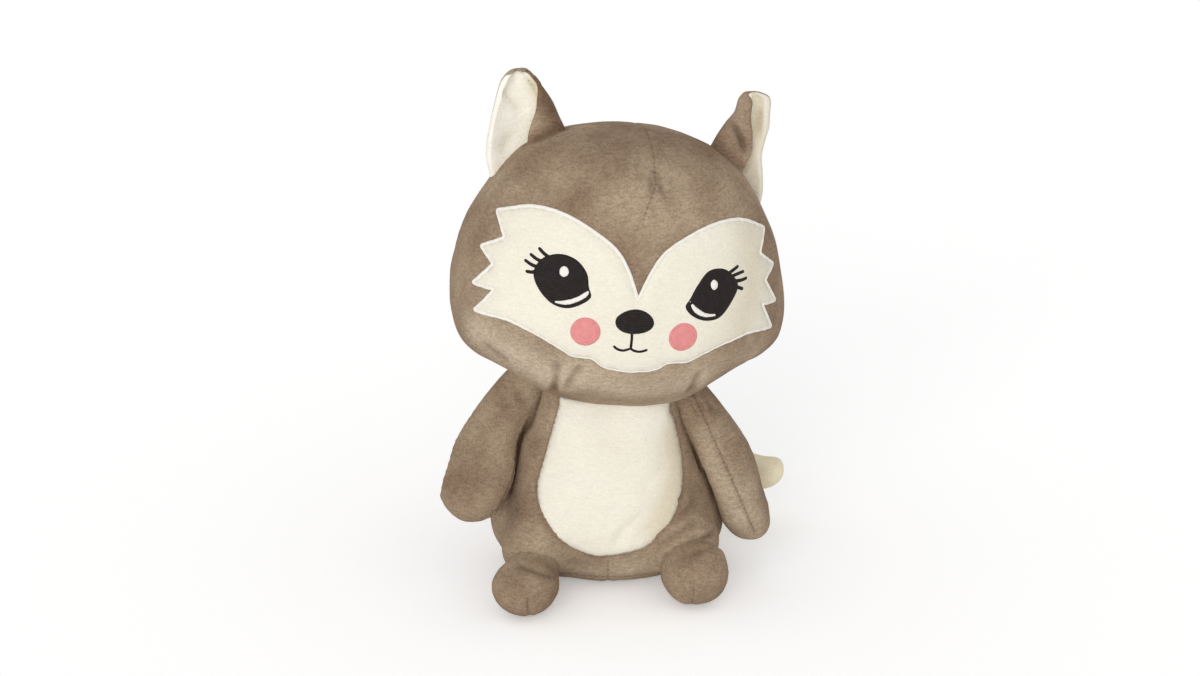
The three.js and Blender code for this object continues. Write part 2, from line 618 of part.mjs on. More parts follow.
// One level of an ear as seen from its tip: the leaf from its outer rim to the fold, and the edge that turns
// forward there, in a full flap low down and a half turn near the tip. Gives places out from the axis and to
// the front, moved to the back's side by an offset
function earSection([outer, rim, fold], curl, thickness, offset) {
  const turn = fold + thickness + curl;
  const bend = Math.PI - Math.asin(THREE.MathUtils.clamp((turn - rim) / curl, 0, 1));
  const path = [];
  for (let step = 0; step < 6; step += 1) {
    const share = step / 6;
    path.push([THREE.MathUtils.lerp(outer, turn, share),
      THREE.MathUtils.lerp(1, -curl, share) - EAR_BOW * Math.sin(Math.PI * share)]);
  }
  for (let step = 0; step <= 4; step += 1) {
    const angle = -Math.PI / 2 - (bend * step) / 4;
    path.push([turn + curl * Math.cos(angle), curl * Math.sin(angle)]);
  }
  const [across, front] = path[path.length - 1];
  const reach = Math.max(rim - turn, 0) + 0.8;
  for (const share of [0.5, 1]) {
    path.push([across - reach * share * Math.cos(bend), front + reach * share * Math.sin(bend) + 0.3 * share]);
  }
  return path.map(([x, y], i) => {
    const before = path[Math.max(i - 1, 0)];
    const after = path[Math.min(i + 1, path.length - 1)];
    const step = new THREE.Vector2(after[0] - before[0], after[1] - before[1]).normalize();
    return [x - step.y * offset, y + step.x * offset];
  });
}

// An ear of two layers with a folded inner edge, cut to the head with room to fold at its root
function addEar(name, side) {
  const base = new THREE.Vector3(side * EAR_BASE.x, EAR_BASE.y, EAR_BASE.z);
  const lean = radians(EAR_LEAN_DEG);
  const rise = new THREE.Vector3(side * Math.sin(lean), 0, Math.cos(lean));
  const across = new THREE.Vector3(side * Math.cos(lean), 0, -Math.sin(lean));
  const levels = EAR_LEVELS[name];
  const top = levels[levels.length - 1][0];
  const grid = (offset) => levels.map(([height, ...edges]) => {
    const share = Math.max(0, height / top);
    const curl = THREE.MathUtils.lerp(EAR_CURL, EAR_TIP_CURL, share);
    const thickness = THREE.MathUtils.lerp(EAR_BACK_THICKNESS, EAR_TIP_THICKNESS, share);
    const section = earSection(edges, curl, thickness, offset > 0 ? thickness : offset);
    return section.map(([out, front]) => base.clone().addScaledVector(rise, height)
      .addScaledVector(across, out).addScaledVector(axisY, -front));
  });
  const folded = (degrees) => {
    const turn = new THREE.Matrix4().makeTranslation(base)
      .multiply(new THREE.Matrix4().makeRotationAxis(across, radians(degrees)))
      .multiply(new THREE.Matrix4().makeTranslation(base.clone().negate()));
    return headForm(CLEARANCE).transform(turn.elements);
  };
  const seat = joined([0, EAR_FOLD_DEG, -EAR_FOLD_DEG].map(folded));
  const layer = (from, to) => {
    const faces = side > 0 ? [to, from] : [from, to];
    return sheetForm(...faces.map(grid)).subtract(seat);
  };
  headFrame.add(
    mesh(`${name}_ear_back`, layer(0, EAR_BACK_THICKNESS), TAUPE_PLUSH),
    mesh(`${name}_ear_lining`, layer(-CLEARANCE - FABRIC, -CLEARANCE), CREAM_PLUSH),
  );
}

// The neck: a pad of filling inside a fabric collar, squeezed between the torso and the head
function addNeck() {
  const barrel = (shrink) => {
    const rings = [0, 0.5, 1].map((share) => {
      const bulge = NECK_BULGE * (1 - (2 * share - 1) ** 2) - shrink;
      const z = THREE.MathUtils.lerp(NECK_BOTTOM_Z, NECK_TOP_Z, share);
      return ovalRing(BODY_SIDES, NECK_HALF_WIDTH + bulge, NECK_HALF_DEPTH + bulge, 2,
        (x, y) => new THREE.Vector3(x, y, z));
    });
    return ringForm(rings, new THREE.Vector3(0, 0, NECK_BOTTOM_Z), new THREE.Vector3(0, 0, NECK_TOP_Z));
  };
  const room = (shape) => shape.subtract(bodyForm(CLEARANCE)).subtract(placedHead(CLEARANCE))
    .subtract(beyond(new THREE.Vector3(0, 0, HEAD_MIDDLE.z), axisZ));
  const shoulders = joined(Object.values(ARMS).map((arm) => hollow(arm.root, ARM_SHOULDER_RADIUS + CLEARANCE)));
  toy.add(
    mesh('neck_filling', room(barrel(FABRIC + CLEARANCE)).subtract(shoulders), FIBRE),
    mesh('neck_collar', room(barrel(0).subtract(barrel(FABRIC))).subtract(shoulders), TAUPE_PLUSH),
  );
}

// Hollows in the torso for the limbs' round roots
const limbHollows = joined([
  ...Object.values(ARMS).map((arm) => hollow(arm.root, ARM_SHOULDER_RADIUS + CLEARANCE)),
  ...Object.values(LEGS).map((leg) => hollow(leg.root, LEG_HIP_RADIUS + CLEARANCE)),
  hollow(TAIL_ROOT, TAIL_ROOT_RADIUS + CLEARANCE),
]);

function bellyShape(grow) {
  const half = BELLY_HALF_WIDTH + grow;
  const top = BELLY_TOP_HALF_WIDTH + grow;
  const bottom = BELLY_BOTTOM_Z - grow;
  const high = BELLY_TOP_Z + grow;
  const shape = new THREE.Shape();
  shape.moveTo(0, bottom);
  const lowHandle = BELLY_WIDEST_Z - BELLY_LOW_HANDLE;
  const highHandle = BELLY_WIDEST_Z + BELLY_HIGH_HANDLE;
  const shoulder = [top + BELLY_TOP_HANDLE.x, high - BELLY_TOP_HANDLE.y];
  shape.bezierCurveTo(half * 0.58, bottom, half, lowHandle, half, BELLY_WIDEST_Z);
  shape.bezierCurveTo(half, highHandle, ...shoulder, top, high);
  shape.lineTo(-top, high);
  shape.bezierCurveTo(-shoulder[0], shoulder[1], -half, highHandle, -half, BELLY_WIDEST_Z);
  shape.bezierCurveTo(-half, lowHandle, -half * 0.58, bottom, 0, bottom);
  return shape;
}

// The torso: two side panels, a belly panel and a seat round the filling and a bag of pellets
function addTorso() {
  const liner = [linerSides(BODY_SIDES), linerSides(BODY_ROWS)];
  const skin = bodyForm(0).subtract(bodyForm(-FABRIC, ...liner));
  const upper = skin.intersect(beyond(new THREE.Vector3(0, 0, SEAT_SEAM_Z + halfGap), axisZ))
    .subtract(limbHollows);
  const sides = upper.subtract(prism(bellyShape(CLEARANCE)));
  const seat = skin.subtract(beyond(new THREE.Vector3(0, 0, SEAT_SEAM_Z - halfGap), axisZ))
    .subtract(limbHollows);
  const bagBottom = FABRIC + CLEARANCE;
  const bag = (grow) => {
    const ring = (breadth, z) => ovalRing(BAG_SIDES, (BAG_HALF_WIDTH + grow) * breadth,
      (BAG_HALF_DEPTH + grow) * breadth, 2, (x, y) => new THREE.Vector3(x, y, z));
    const height = BAG_HEIGHT + grow;
    const slopes = [0, 1, 2, 3, 4].map((row) => (Math.PI / 10) * row);
    const dome = slopes.map((slope) => ring(Math.cos(slope), bagBottom + height * Math.sin(slope)));
    const well = grow > 0 ? [ring(1, bagBottom - grow)] : [];
    return ringForm([...well, ...dome], new THREE.Vector3(0, 0, bagBottom - grow),
      new THREE.Vector3(0, 0, bagBottom + height));
  };
  const stuffing = bodyForm(-FABRIC - CLEARANCE, ...liner);
  toy.add(
    mesh('body_left_panel', sides.intersect(beyond(new THREE.Vector3(halfGap, 0, 0), axisX)), TAUPE_PLUSH),
    mesh('body_right_panel',
      sides.intersect(beyond(new THREE.Vector3(-halfGap, 0, 0), axisX.clone().negate())), TAUPE_PLUSH),
    mesh('belly_panel', upper.intersect(prism(bellyShape(0))), CREAM_PLUSH),
    mesh('seat_panel', seat, TAUPE_PLUSH),
    mesh('body_filling', stuffing.subtract(limbHollows).subtract(bag(CLEARANCE)), FIBRE),
    mesh('pellet_bag', bag(0).subtract(limbHollows), BAG_CLOTH),
  );
}

// A limb's two panels, sewn along its narrow edges, and its filling
function addLimb(name, limb, onFloor) {
  const room = (grow, sides) => {
    const form = limbForm(limb, -grow, sides);
    if (onFloor) return form.intersect(beyond(new THREE.Vector3(0, 0, grow), axisZ));
    return largest(form.subtract(torsoPath(limb, grow)).subtract(placedHead(HEAD_SWAY + grow)));
  };
  const skin = room(0, LIMB_SIDES).subtract(room(FABRIC, LIMB_INNER_SIDES));
  const outward = limb.broadside;
  const seamAt = (distance) => limb.root.clone().addScaledVector(outward, distance);
  const outer = skin.intersect(beyond(seamAt(halfGap), outward));
  const inner = skin.intersect(beyond(seamAt(-halfGap), outward.clone().negate()));
  toy.add(
    mesh(`${name}_outer_panel`, outer, TAUPE_PLUSH),
    mesh(`${name}_inner_panel`, inner, TAUPE_PLUSH),
    mesh(`${name}_filling`, room(FABRIC + CLEARANCE, LIMB_INNER_SIDES), FIBRE),
  );
}

// The tail: a sleeve and a cream tip round one filling, curled to the animal's left
function addTail() {
  const curve = new THREE.QuadraticBezierCurve3(TAIL_ROOT, TAIL_BEND, TAIL_END);
  const length = curve.getLength();
  const form = (grow, sides) => {
    const rings = [];
    const ring = (middle, along, radius) => {
      const width = new THREE.Vector3().crossVectors(axisZ, along).normalize();
      const height = new THREE.Vector3().crossVectors(along, width);
      rings.push(ovalRing(sides, radius, radius, 2,
        (x, y) => middle.clone().addScaledVector(width, x).addScaledVector(height, y)));
    };
    const rootAlong = curve.getTangentAt(0);
    const rootRadius = TAIL_ROOT_RADIUS + grow;
    const pinch = radians(TAIL_PINCH_DEG);
    for (let row = 1; row <= LIMB_END_ROWS; row += 1) {
      const slope = (Math.PI / 2 + pinch) * (row / LIMB_END_ROWS);
      const middle = TAIL_ROOT.clone().addScaledVector(rootAlong, -rootRadius * Math.cos(slope));
      ring(middle, rootAlong, rootRadius * Math.sin(slope));
    }
    const end = 1 + grow / length;
    for (const share of [0.16, 0.3, 0.45, 0.6, 0.72, 0.83, 0.92, 0.98]) {
      const swell = THREE.MathUtils.smoothstep(share, 0, TAIL_SWELL_SHARE);
      const radius = THREE.MathUtils.lerp(TAIL_ROOT_RADIUS * Math.cos(pinch), TAIL_RADIUS, swell) + grow;
      const roundOff = Math.max(0, (share - TAIL_ROUND_SHARE) / (1 - TAIL_ROUND_SHARE));
      const at = Math.min(1, share * end);
      ring(curve.getPointAt(at), curve.getTangentAt(at), radius * Math.sqrt(1 - roundOff ** 2));
    }
    const tip = curve.getPointAt(1).addScaledVector(curve.getTangentAt(1), grow);
    return ringForm(rings, TAIL_ROOT.clone().addScaledVector(rootAlong, -rootRadius), tip);
  };
  const skin = form(0, LIMB_SIDES).subtract(form(-FABRIC, LIMB_INNER_SIDES));
  const seam = curve.getPointAt(TAIL_TIP_SHARE);
  const along = curve.getTangentAt(TAIL_TIP_SHARE);
  const seamAt = (distance) => seam.clone().addScaledVector(along, distance);
  toy.add(
    mesh('tail_sleeve', skin.subtract(beyond(seamAt(-halfGap), along)), TAUPE_PLUSH),
    mesh('tail_tip', skin.intersect(beyond(seamAt(halfGap), along)), CREAM_PLUSH),
    mesh('tail_filling', form(-FABRIC - CLEARANCE, LIMB_INNER_SIDES), FIBRE),
  );
}

addHead();
addMask();
addNoseMouthAndCheeks();
for (const [name, side] of [['left', 1], ['right', -1]]) {
  addEye(name, side);
  addEar(name, side);
  addLimb(`${name}_arm`, ARMS[name], false);
  addLimb(`${name}_leg`, LEGS[name], true);
}
addNeck();
addTorso();
addTail();

export default toy;
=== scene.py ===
"""A seated plush cub: stuffed pile-fabric forms, an appliqué face and satin-stitched features."""
import math

import bpy
import numpy as np
from mathutils import Matrix, Vector, noise
from mathutils.bvhtree import BVHTree
from mathutils.geometry import delaunay_2d_cdt


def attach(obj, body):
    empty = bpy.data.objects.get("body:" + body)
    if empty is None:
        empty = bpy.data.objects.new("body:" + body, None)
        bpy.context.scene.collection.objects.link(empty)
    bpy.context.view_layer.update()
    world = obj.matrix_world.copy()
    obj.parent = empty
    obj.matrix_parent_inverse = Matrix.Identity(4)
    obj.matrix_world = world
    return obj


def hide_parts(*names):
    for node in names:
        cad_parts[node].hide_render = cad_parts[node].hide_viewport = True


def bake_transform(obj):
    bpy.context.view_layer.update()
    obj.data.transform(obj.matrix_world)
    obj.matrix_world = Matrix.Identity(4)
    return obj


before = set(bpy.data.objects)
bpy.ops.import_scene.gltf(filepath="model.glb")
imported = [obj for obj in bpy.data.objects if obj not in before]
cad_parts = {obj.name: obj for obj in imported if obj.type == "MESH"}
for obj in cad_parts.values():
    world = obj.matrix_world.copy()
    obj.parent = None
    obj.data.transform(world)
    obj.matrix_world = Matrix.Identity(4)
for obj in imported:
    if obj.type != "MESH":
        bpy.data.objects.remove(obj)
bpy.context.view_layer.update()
scene = bpy.context.scene
MM = 0.001

# Camera, as the photograph was taken: the target is the middle of a picture 1200 pixels wide
PICTURE_WIDTH = 1200
PICTURE_MIDDLE = (600, 338)
CAMERA_TARGET = Vector((-4.4, 0, 133)) * MM
CAMERA_DISTANCE = 1200 * MM
CAMERA_ELEVATION = math.radians(20)
SENSOR_WIDTH = 36
LENS = 65.46

# Head frame: where the head sits and how it is turned and tilted
HEAD_MIDDLE = Vector((4, -6, 166)) * MM
HEAD_TURN = math.radians(8)
HEAD_TILT = math.radians(6)
HEAD_SEAM_Y = 4 * MM
HEAD_MATRIX = (
    Matrix.Translation(HEAD_MIDDLE)
    @ Matrix.Rotation(HEAD_TURN, 4, "Z")
    @ Matrix.Rotation(HEAD_TILT, 4, "Y")
)

# Limbs, in millimetres: root, aim and the direction out of the outer panel
LIMBS = {
    "left_arm": ((53, -4, 87), (34, -14, -76), (1, -0.3, 0.4)),
    "right_arm": ((-54, -4, 96), (-27, -33, -56), (-0.3, -1, 0.4)),
    "left_leg": ((42, -36, 18), (3.1, -29.8, -3.5), (1, 0, 0)),
    "right_leg": ((-40, -40, 18), (-2.1, -29.9, -3.5), (-1, 0, 0)),
}
TAIL_ROOT = (8, 47, 26)

# Ears, in the head's own frame: the right one is the mirror image
EAR_BASE = (46, 8, 71)
EAR_LEAN = math.radians(20)
SIDES = (("left", 1), ("right", -1))


# Small tools

def pick(*objects):
    """Leaves only these objects selected, with the last one active."""
    bpy.ops.object.select_all(action="DESELECT")
    for each in objects:
        each.select_set(True)
    bpy.context.view_layer.objects.active = objects[-1]


def apply_modifier(obj, kind, **settings):
    modifier = obj.modifiers.new(kind.lower(), kind)
    for key, value in settings.items():
        setattr(modifier, key, value)
    pick(obj)
    bpy.ops.object.modifier_apply(modifier=modifier.name)


def edit_whole(obj, operator, **settings):
    """Runs a mesh operator on the whole of an object."""
    pick(obj)
    bpy.ops.object.mode_set(mode="EDIT")
    bpy.ops.mesh.select_all(action="SELECT")
    operator(**settings)
    bpy.ops.object.mode_set(mode="OBJECT")


def new_object(name, data):
    obj = bpy.data.objects.new(name, data)
    scene.collection.objects.link(obj)
    return obj


def mesh_object(name, points, faces):
    data = bpy.data.meshes.new(name)
    data.from_pydata(points.tolist(), [], faces)
    return new_object(name, data)


def ring_faces(rings, size, closed):
    """Faces between neighbouring rings of points."""
    return [
        (r * size + k, r * size + (k + 1) % size,
         (r + 1) % rings * size + (k + 1) % size, (r + 1) % rings * size + k)
        for r in range(rings if closed else rings - 1) for k in range(size)
    ]


def vectors(items, key):
    flat = np.empty(len(items) * 3, np.float32)
    items.foreach_get(key, flat)
    return flat.reshape(-1, 3).astype(float)


def coords(obj):
    return vectors(obj.data.vertices, "co")


def set_coords(obj, points):
    obj.data.vertices.foreach_set("co", points.astype(np.float32).ravel())
    obj.data.update()


def raise_by(obj, height):
    """Moves the points of a form along its normals."""
    outward = vectors(obj.data.vertex_normals, "vector")
    set_coords(obj, coords(obj) + outward * np.reshape(height, (-1, 1)))


def surface_of(obj):
    """A search tree over the faces of an object."""
    points = [vertex.co.copy() for vertex in obj.data.vertices]
    return BVHTree.FromPolygons(points, [list(face.vertices) for face in obj.data.polygons])


def unit(rows):
    return rows / np.linalg.norm(rows, axis=1, keepdims=True)


def closed_line(points):
    return np.vstack([points, points[:1]])


def reach_along(points, origin, axis):
    """How far from an origin points lie along an axis."""
    return (points - np.array(origin)) @ np.array(Vector(axis).normalized())


def fade(values, start, width):
    """Rises softly from 0 at the start to 1 a width further on. A negative width leads back."""
    share = np.clip((values - start) / width, 0, 1)
    return share * share * (3 - 2 * share)


def near_line(points, line):
    """Distance of each point to a line of points, how far along it its foot lies, and its length."""
    best = np.full(len(points), np.inf)
    along = np.zeros(len(points))
    run = 0.0
    for start, end in zip(line[:-1], line[1:]):
        step = end - start
        length = np.linalg.norm(step)
        if length < 1e-9:
            continue
        share = np.clip((points - start) @ step / length**2, 0, 1)
        away = np.linalg.norm(points - start - share[:, None] * step, axis=1)
        closer = away < best
        best[closer] = away[closer]
        along[closer] = run + share[closer] * length
        run += length
    return best, along, run


def curve_through(points, steps=8, closed=False):
    """A smooth line through points."""
    points = [np.array(p, float) for p in points]
    count = len(points)
    spans = count if closed else count - 1
    line = []
    for i in range(spans):
        a, b, c, d = (
            points[(i + k) % count] if closed else points[min(max(i + k, 0), count - 1)]
            for k in (-1, 0, 1, 2)
        )
        for step in range(steps):
            t = step / steps
            line.append(
                0.5 * (2 * b + (c - a) * t + (2 * a - 5 * b + 4 * c - d) * t**2
                       + (3 * b - a - 3 * c + d) * t**3)
            )
    if not closed:
        line.append(points[-1])
    return np.array(line)


# Camera

forward = Vector((0, math.cos(CAMERA_ELEVATION), -math.sin(CAMERA_ELEVATION)))
picture_up = Vector((0, math.sin(CAMERA_ELEVATION), math.cos(CAMERA_ELEVATION)))
camera_place = CAMERA_TARGET - forward * CAMERA_DISTANCE
camera_data = bpy.data.cameras.new("photo_camera")
camera_data.lens = LENS
camera_data.sensor_width = SENSOR_WIDTH
camera = new_object("photo_camera", camera_data)
camera.location = camera_place
camera.rotation_euler = forward.to_track_quat("-Z", "Y").to_euler()
scene.camera = camera


def seen_at(surface, line, steps=6):
    """A line of picture points, as it lies on a surface seen from the camera."""
    focal = LENS / SENSOR_WIDTH * PICTURE_WIDTH
    found = []
    for x, y in curve_through(line, steps):
        ray = (
            forward * focal
            + Vector((1, 0, 0)) * (x - PICTURE_MIDDLE[0])
            - picture_up * (y - PICTURE_MIDDLE[1])
        )
        place = surface.ray_cast(camera_place, ray.normalized())[0]
        if place is not None:
            found.append(np.array(place))
    return np.array(found)


# Stuffed forms

STUFFING_PRESSURE = 4.0
STUFFING_STEPS = 20
FLOOR_GAP = 0.2 * MM
FAR_FROM_SEAMS = 50.0


def joined_copy(name, node_names, plugs=()):
    """One object from copies of CAD solids, with round plugs that fill the sockets of other pieces."""
    copies = [new_object(name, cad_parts[node].data.copy()) for node in node_names]
    for middle, radius in plugs:
        bpy.ops.object.select_all(action="DESELECT")
        bpy.ops.mesh.primitive_uv_sphere_add(
            segments=24, ring_count=12, radius=radius * MM, location=Vector(middle) * MM
        )
        copies.insert(0, bpy.context.object)
    pick(*copies)
    bpy.ops.object.join()
    whole = bpy.context.object
    whole.name = name
    edit_whole(whole, bpy.ops.mesh.remove_doubles, threshold=1e-6)
    return whole


def blow_up(obj, cap):
    """Fills a closed form with pressure, as stuffing does, and keeps each point near its start."""
    start = coords(obj)
    cloth = obj.modifiers.new("stuffing", "CLOTH")
    cloth.settings.quality = 4
    cloth.settings.use_pressure = True
    cloth.settings.uniform_pressure_force = STUFFING_PRESSURE
    cloth.settings.effector_weights.gravity = 0
    cloth.collision_settings.use_collision = False
    cloth.point_cache.frame_start = 1
    cloth.point_cache.frame_end = STUFFING_STEPS
    for step in range(1, STUFFING_STEPS + 1):
        scene.frame_set(step)
    pick(obj)
    bpy.ops.object.modifier_apply(modifier=cloth.name)
    scene.frame_set(1)
    moved = coords(obj) - start
    length = np.maximum(np.linalg.norm(moved, axis=1, keepdims=True), 1e-12)
    set_coords(obj, start + moved * np.minimum(1, cap / length))


def keep_largest(obj):
    """Drops loose scraps of a remeshed form."""
    name = obj.name
    edit_whole(obj, bpy.ops.mesh.separate, type="LOOSE")
    parts = sorted(bpy.context.selected_objects, key=lambda o: -len(o.data.vertices))
    for scrap in parts[1:]:
        bpy.data.objects.remove(scrap)
    parts[0].name = name
    return parts[0]


def stuffed(name, node_names, voxel, calm, grow, cap, plugs=()):
    """A closed stuffed form over CAD solids: remeshed, calmed, blown up and made finer."""
    obj = joined_copy(name, node_names, plugs)
    obj.data.remesh_voxel_size = voxel * MM
    pick(obj)
    bpy.ops.object.voxel_remesh()
    obj = keep_largest(obj)
    apply_modifier(obj, "SMOOTH", factor=0.5, iterations=calm)
    blow_up(obj, cap * MM)
    apply_modifier(obj, "SMOOTH", factor=0.5, iterations=6)
    apply_modifier(obj, "SUBSURF", levels=1, render_levels=1)
    raise_by(obj, grow * MM)
    obj.data.materials.clear()
    bpy.ops.object.shade_smooth()
    return pile_ready(obj)


def pile_ready(obj):
    """Gives a form the values its pile needs: painted shade in folds, painted light and shade, and where
    it lies beside a sewn seam.
    """
    for name in ("fold", "light_and_shade", "seam_away", "seam_along"):
        obj.data.attributes.new(name, "FLOAT", "POINT")
    set_values(obj, "seam_away", np.full(len(obj.data.vertices), FAR_FROM_SEAMS))
    return obj


def values_of(obj, name):
    held = np.zeros(len(obj.data.vertices), np.float32)
    obj.data.attributes[name].data.foreach_get("value", held)
    return held


def set_values(obj, name, values):
    obj.data.attributes[name].data.foreach_set("value", values.astype(np.float32))


def bell(away, width):
    """One on a line, and less the farther away from it."""
    return np.exp(-((away / width) ** 2))


def paint_groove_shade(obj, amount):
    """Paints shade into the pile along a crease or seam groove."""
    set_values(obj, "fold", np.maximum(values_of(obj, "fold"), amount))


def paint_light_and_shade(obj, surface, strokes):
    """Paints light (positive amounts) and shade (negative amounts) into the pile along picture lines."""
    for line, width, amount in strokes:
        place = seen_at(surface, line)
        if len(place):
            away = near_line(coords(obj), place)[0]
            set_values(obj, "light_and_shade", values_of(obj, "light_and_shade") + amount * bell(away, width * MM))


def mark_seam(obj, away, along):
    """Notes the place beside the nearest seam, in millimetres, for the line of stitches."""
    held, run = values_of(obj, "seam_away"), values_of(obj, "seam_along")
    nearer = np.abs(away / MM) < np.abs(held)
    held[nearer] = (away / MM)[nearer]
    run[nearer] = (along / MM)[nearer]
    set_values(obj, "seam_away", held)
    set_values(obj, "seam_along", run)


# How far out the lips of a seam rise, in widths of its groove
LIP_AWAY = 2.2


def valley(away, along, depth, width, lip, pucker, pitch):
    """Height of a sewn valley: a groove between two soft lips, gathered by its stitches."""
    gather = 1 + pucker * np.sin(2 * np.pi * along / (pitch * MM))
    share = away / (width * MM)
    return -depth * MM * bell(share, 1) * gather + lip * MM * bell(share - LIP_AWAY, 1) * (2 - gather)


def seam_on_plane(obj, origin, normal, keep, along_axis, depth=0.6, width=1.3, lip=0.12,
                  pucker=0.3, pitch=5.5, dark=0.0, askew=None):
    """A sewn seam where a plane meets the form, over the points that keep allows, with painted shade in
    its groove as much as dark gives.
    """
    points = coords(obj)
    away = reach_along(points, origin, normal)
    if askew:
        away = away - askew(points)
    along = reach_along(points, origin, along_axis)
    where = keep(points)
    raise_by(obj, valley(np.abs(away), along, depth, width, lip, pucker, pitch) * where)
    mark_seam(obj, np.where(where > 0.5, away, FAR_FROM_SEAMS * MM), along)
    paint_groove_shade(obj, dark * bell(away, 0.8 * width * MM) * where)


# What is left of a fold at its very ends
FOLD_END = 0.15


def crease(obj, line, depth, width, lip=0.2, run_out=8, pucker=0.0, pitch=6.0, dark=0.6):
    """A fold pressed into the form along a line on it, with painted shade in it as much as dark gives,
    which runs out towards its ends.
    """
    if len(line) < 2:
        return
    away, along, length = near_line(coords(obj), line)
    ends = fade(np.minimum(along, length - along) / (run_out * MM), -FOLD_END, 1)
    raise_by(obj, valley(away, along, depth, width, lip, pucker, pitch) * ends)
    paint_groove_shade(obj, dark * bell(away, 0.7 * width * MM) * ends)


def crease_at(obj, surface, folds, **settings):
    """Creases along picture lines, each with its depth and width."""
    for line, depth, width in folds:
        crease(obj, seen_at(surface, line), depth, width, **settings)


def swollen(points, pads, local=None, turn=np.array):
    """Points moved where the stuffing is fuller or drawn in. A pad is a place, a move and a reach."""
    for place, move, reach in pads:
        away = (points if local is None else local) / MM - place
        share = np.exp(-np.sum(away**2, axis=1) / reach**2)
        points = points + share[:, None] * np.array(turn(move)) * MM
    return points


def unevenness(obj, height, size, seed):
    """Soft lumps of the stuffing."""
    shift = Vector((seed * 7.1, seed * 3.7, seed * 5.3))
    lumps = np.array([noise.noise(Vector(p) / (size * MM) + shift) for p in coords(obj)])
    raise_by(obj, lumps * height * MM)


def rest_on_floor(obj):
    points = coords(obj)
    points[:, 2] = np.maximum(points[:, 2], FLOOR_GAP)
    set_coords(obj, points)


# Finishes

def shader(name, finish):
    material = bpy.data.materials.new(name)
    material.use_nodes = True
    tree = material.node_tree
    surface = tree.nodes["Principled BSDF"]
    for key, value in finish.items():
        surface.inputs[key].default_value = value
    return material, tree, surface


def plug(value, socket):
    """Joins an output to an input, or sets the input's own value."""
    if isinstance(value, bpy.types.NodeSocket):
        socket.id_data.links.new(value, socket)
    else:
        socket.default_value = value


def node(tree, kind, *values, **settings):
    """A new node, with values for its inputs in order, and inputs and settings by name."""
    made = tree.nodes.new(kind)
    for key, value in settings.items():
        if key in made.inputs.keys():
            plug(value, made.inputs[key])
        else:
            setattr(made, key, value)
    for value, socket in zip(values, made.inputs):
        plug(value, socket)
    return made


def noise_at(tree, place, scale, roughness=0.5, stretch=(1, 1, 1)):
    """Noise over the object's own coordinates, optionally drawn out along an axis."""
    place = node(tree, "ShaderNodeMapping", Vector=place, Scale=stretch).outputs["Vector"]
    made = node(tree, "ShaderNodeTexNoise", Vector=place, Scale=scale, Detail=2.0, Roughness=roughness)
    return made.outputs["Fac"]


def value_at(tree, name):
    return node(tree, "ShaderNodeAttribute", attribute_name=name).outputs["Fac"]


def remap(tree, value, low, high, to_low, to_high):
    ends = {"From Min": low, "From Max": high, "To Min": to_low, "To Max": to_high}
    return node(tree, "ShaderNodeMapRange", Value=value, **ends).outputs["Result"]


def mixed(tree, share, first, second):
    made = node(tree, "ShaderNodeMix", data_type="RGBA")
    for slot, value in ((0, share), (6, first), (7, second)):
        plug(value, made.inputs[slot])
    return made.outputs[2]


def computed(tree, operation, *values):
    return node(tree, "ShaderNodeMath", *values, operation=operation).outputs[0]


def bumped(tree, surface, height, strength, distance):
    bump = node(tree, "ShaderNodeBump", Height=height, Strength=strength, Distance=distance * MM)
    plug(bump.outputs["Normal"], surface.inputs["Normal"])


def linear(colour):
    """An sRGB colour of 0 to 255, as the shader takes it."""
    shares = [part / 255 for part in colour]
    return (*(c / 12.92 if c <= 0.04045 else ((c + 0.055) / 1.055) ** 2.4 for c in shares), 1.0)


# Distance from a seam over which its line fades, and the length of a stitch, in millimetres
SEAM_LINE = (0.15, 0.75)
STITCH_LENGTH = 2.6


def seam_line(tree):
    """A thin line of stitch holes where two panels meet."""
    line = remap(tree, computed(tree, "ABSOLUTE", value_at(tree, "seam_away")), *SEAM_LINE, 1.0, 0.0)
    turns = computed(tree, "MULTIPLY", value_at(tree, "seam_along"), 2 * math.pi / STITCH_LENGTH)
    dots = remap(tree, computed(tree, "SINE", turns), -1.0, 1.0, 0.08, 0.5)
    return computed(tree, "MULTIPLY", line, dots)


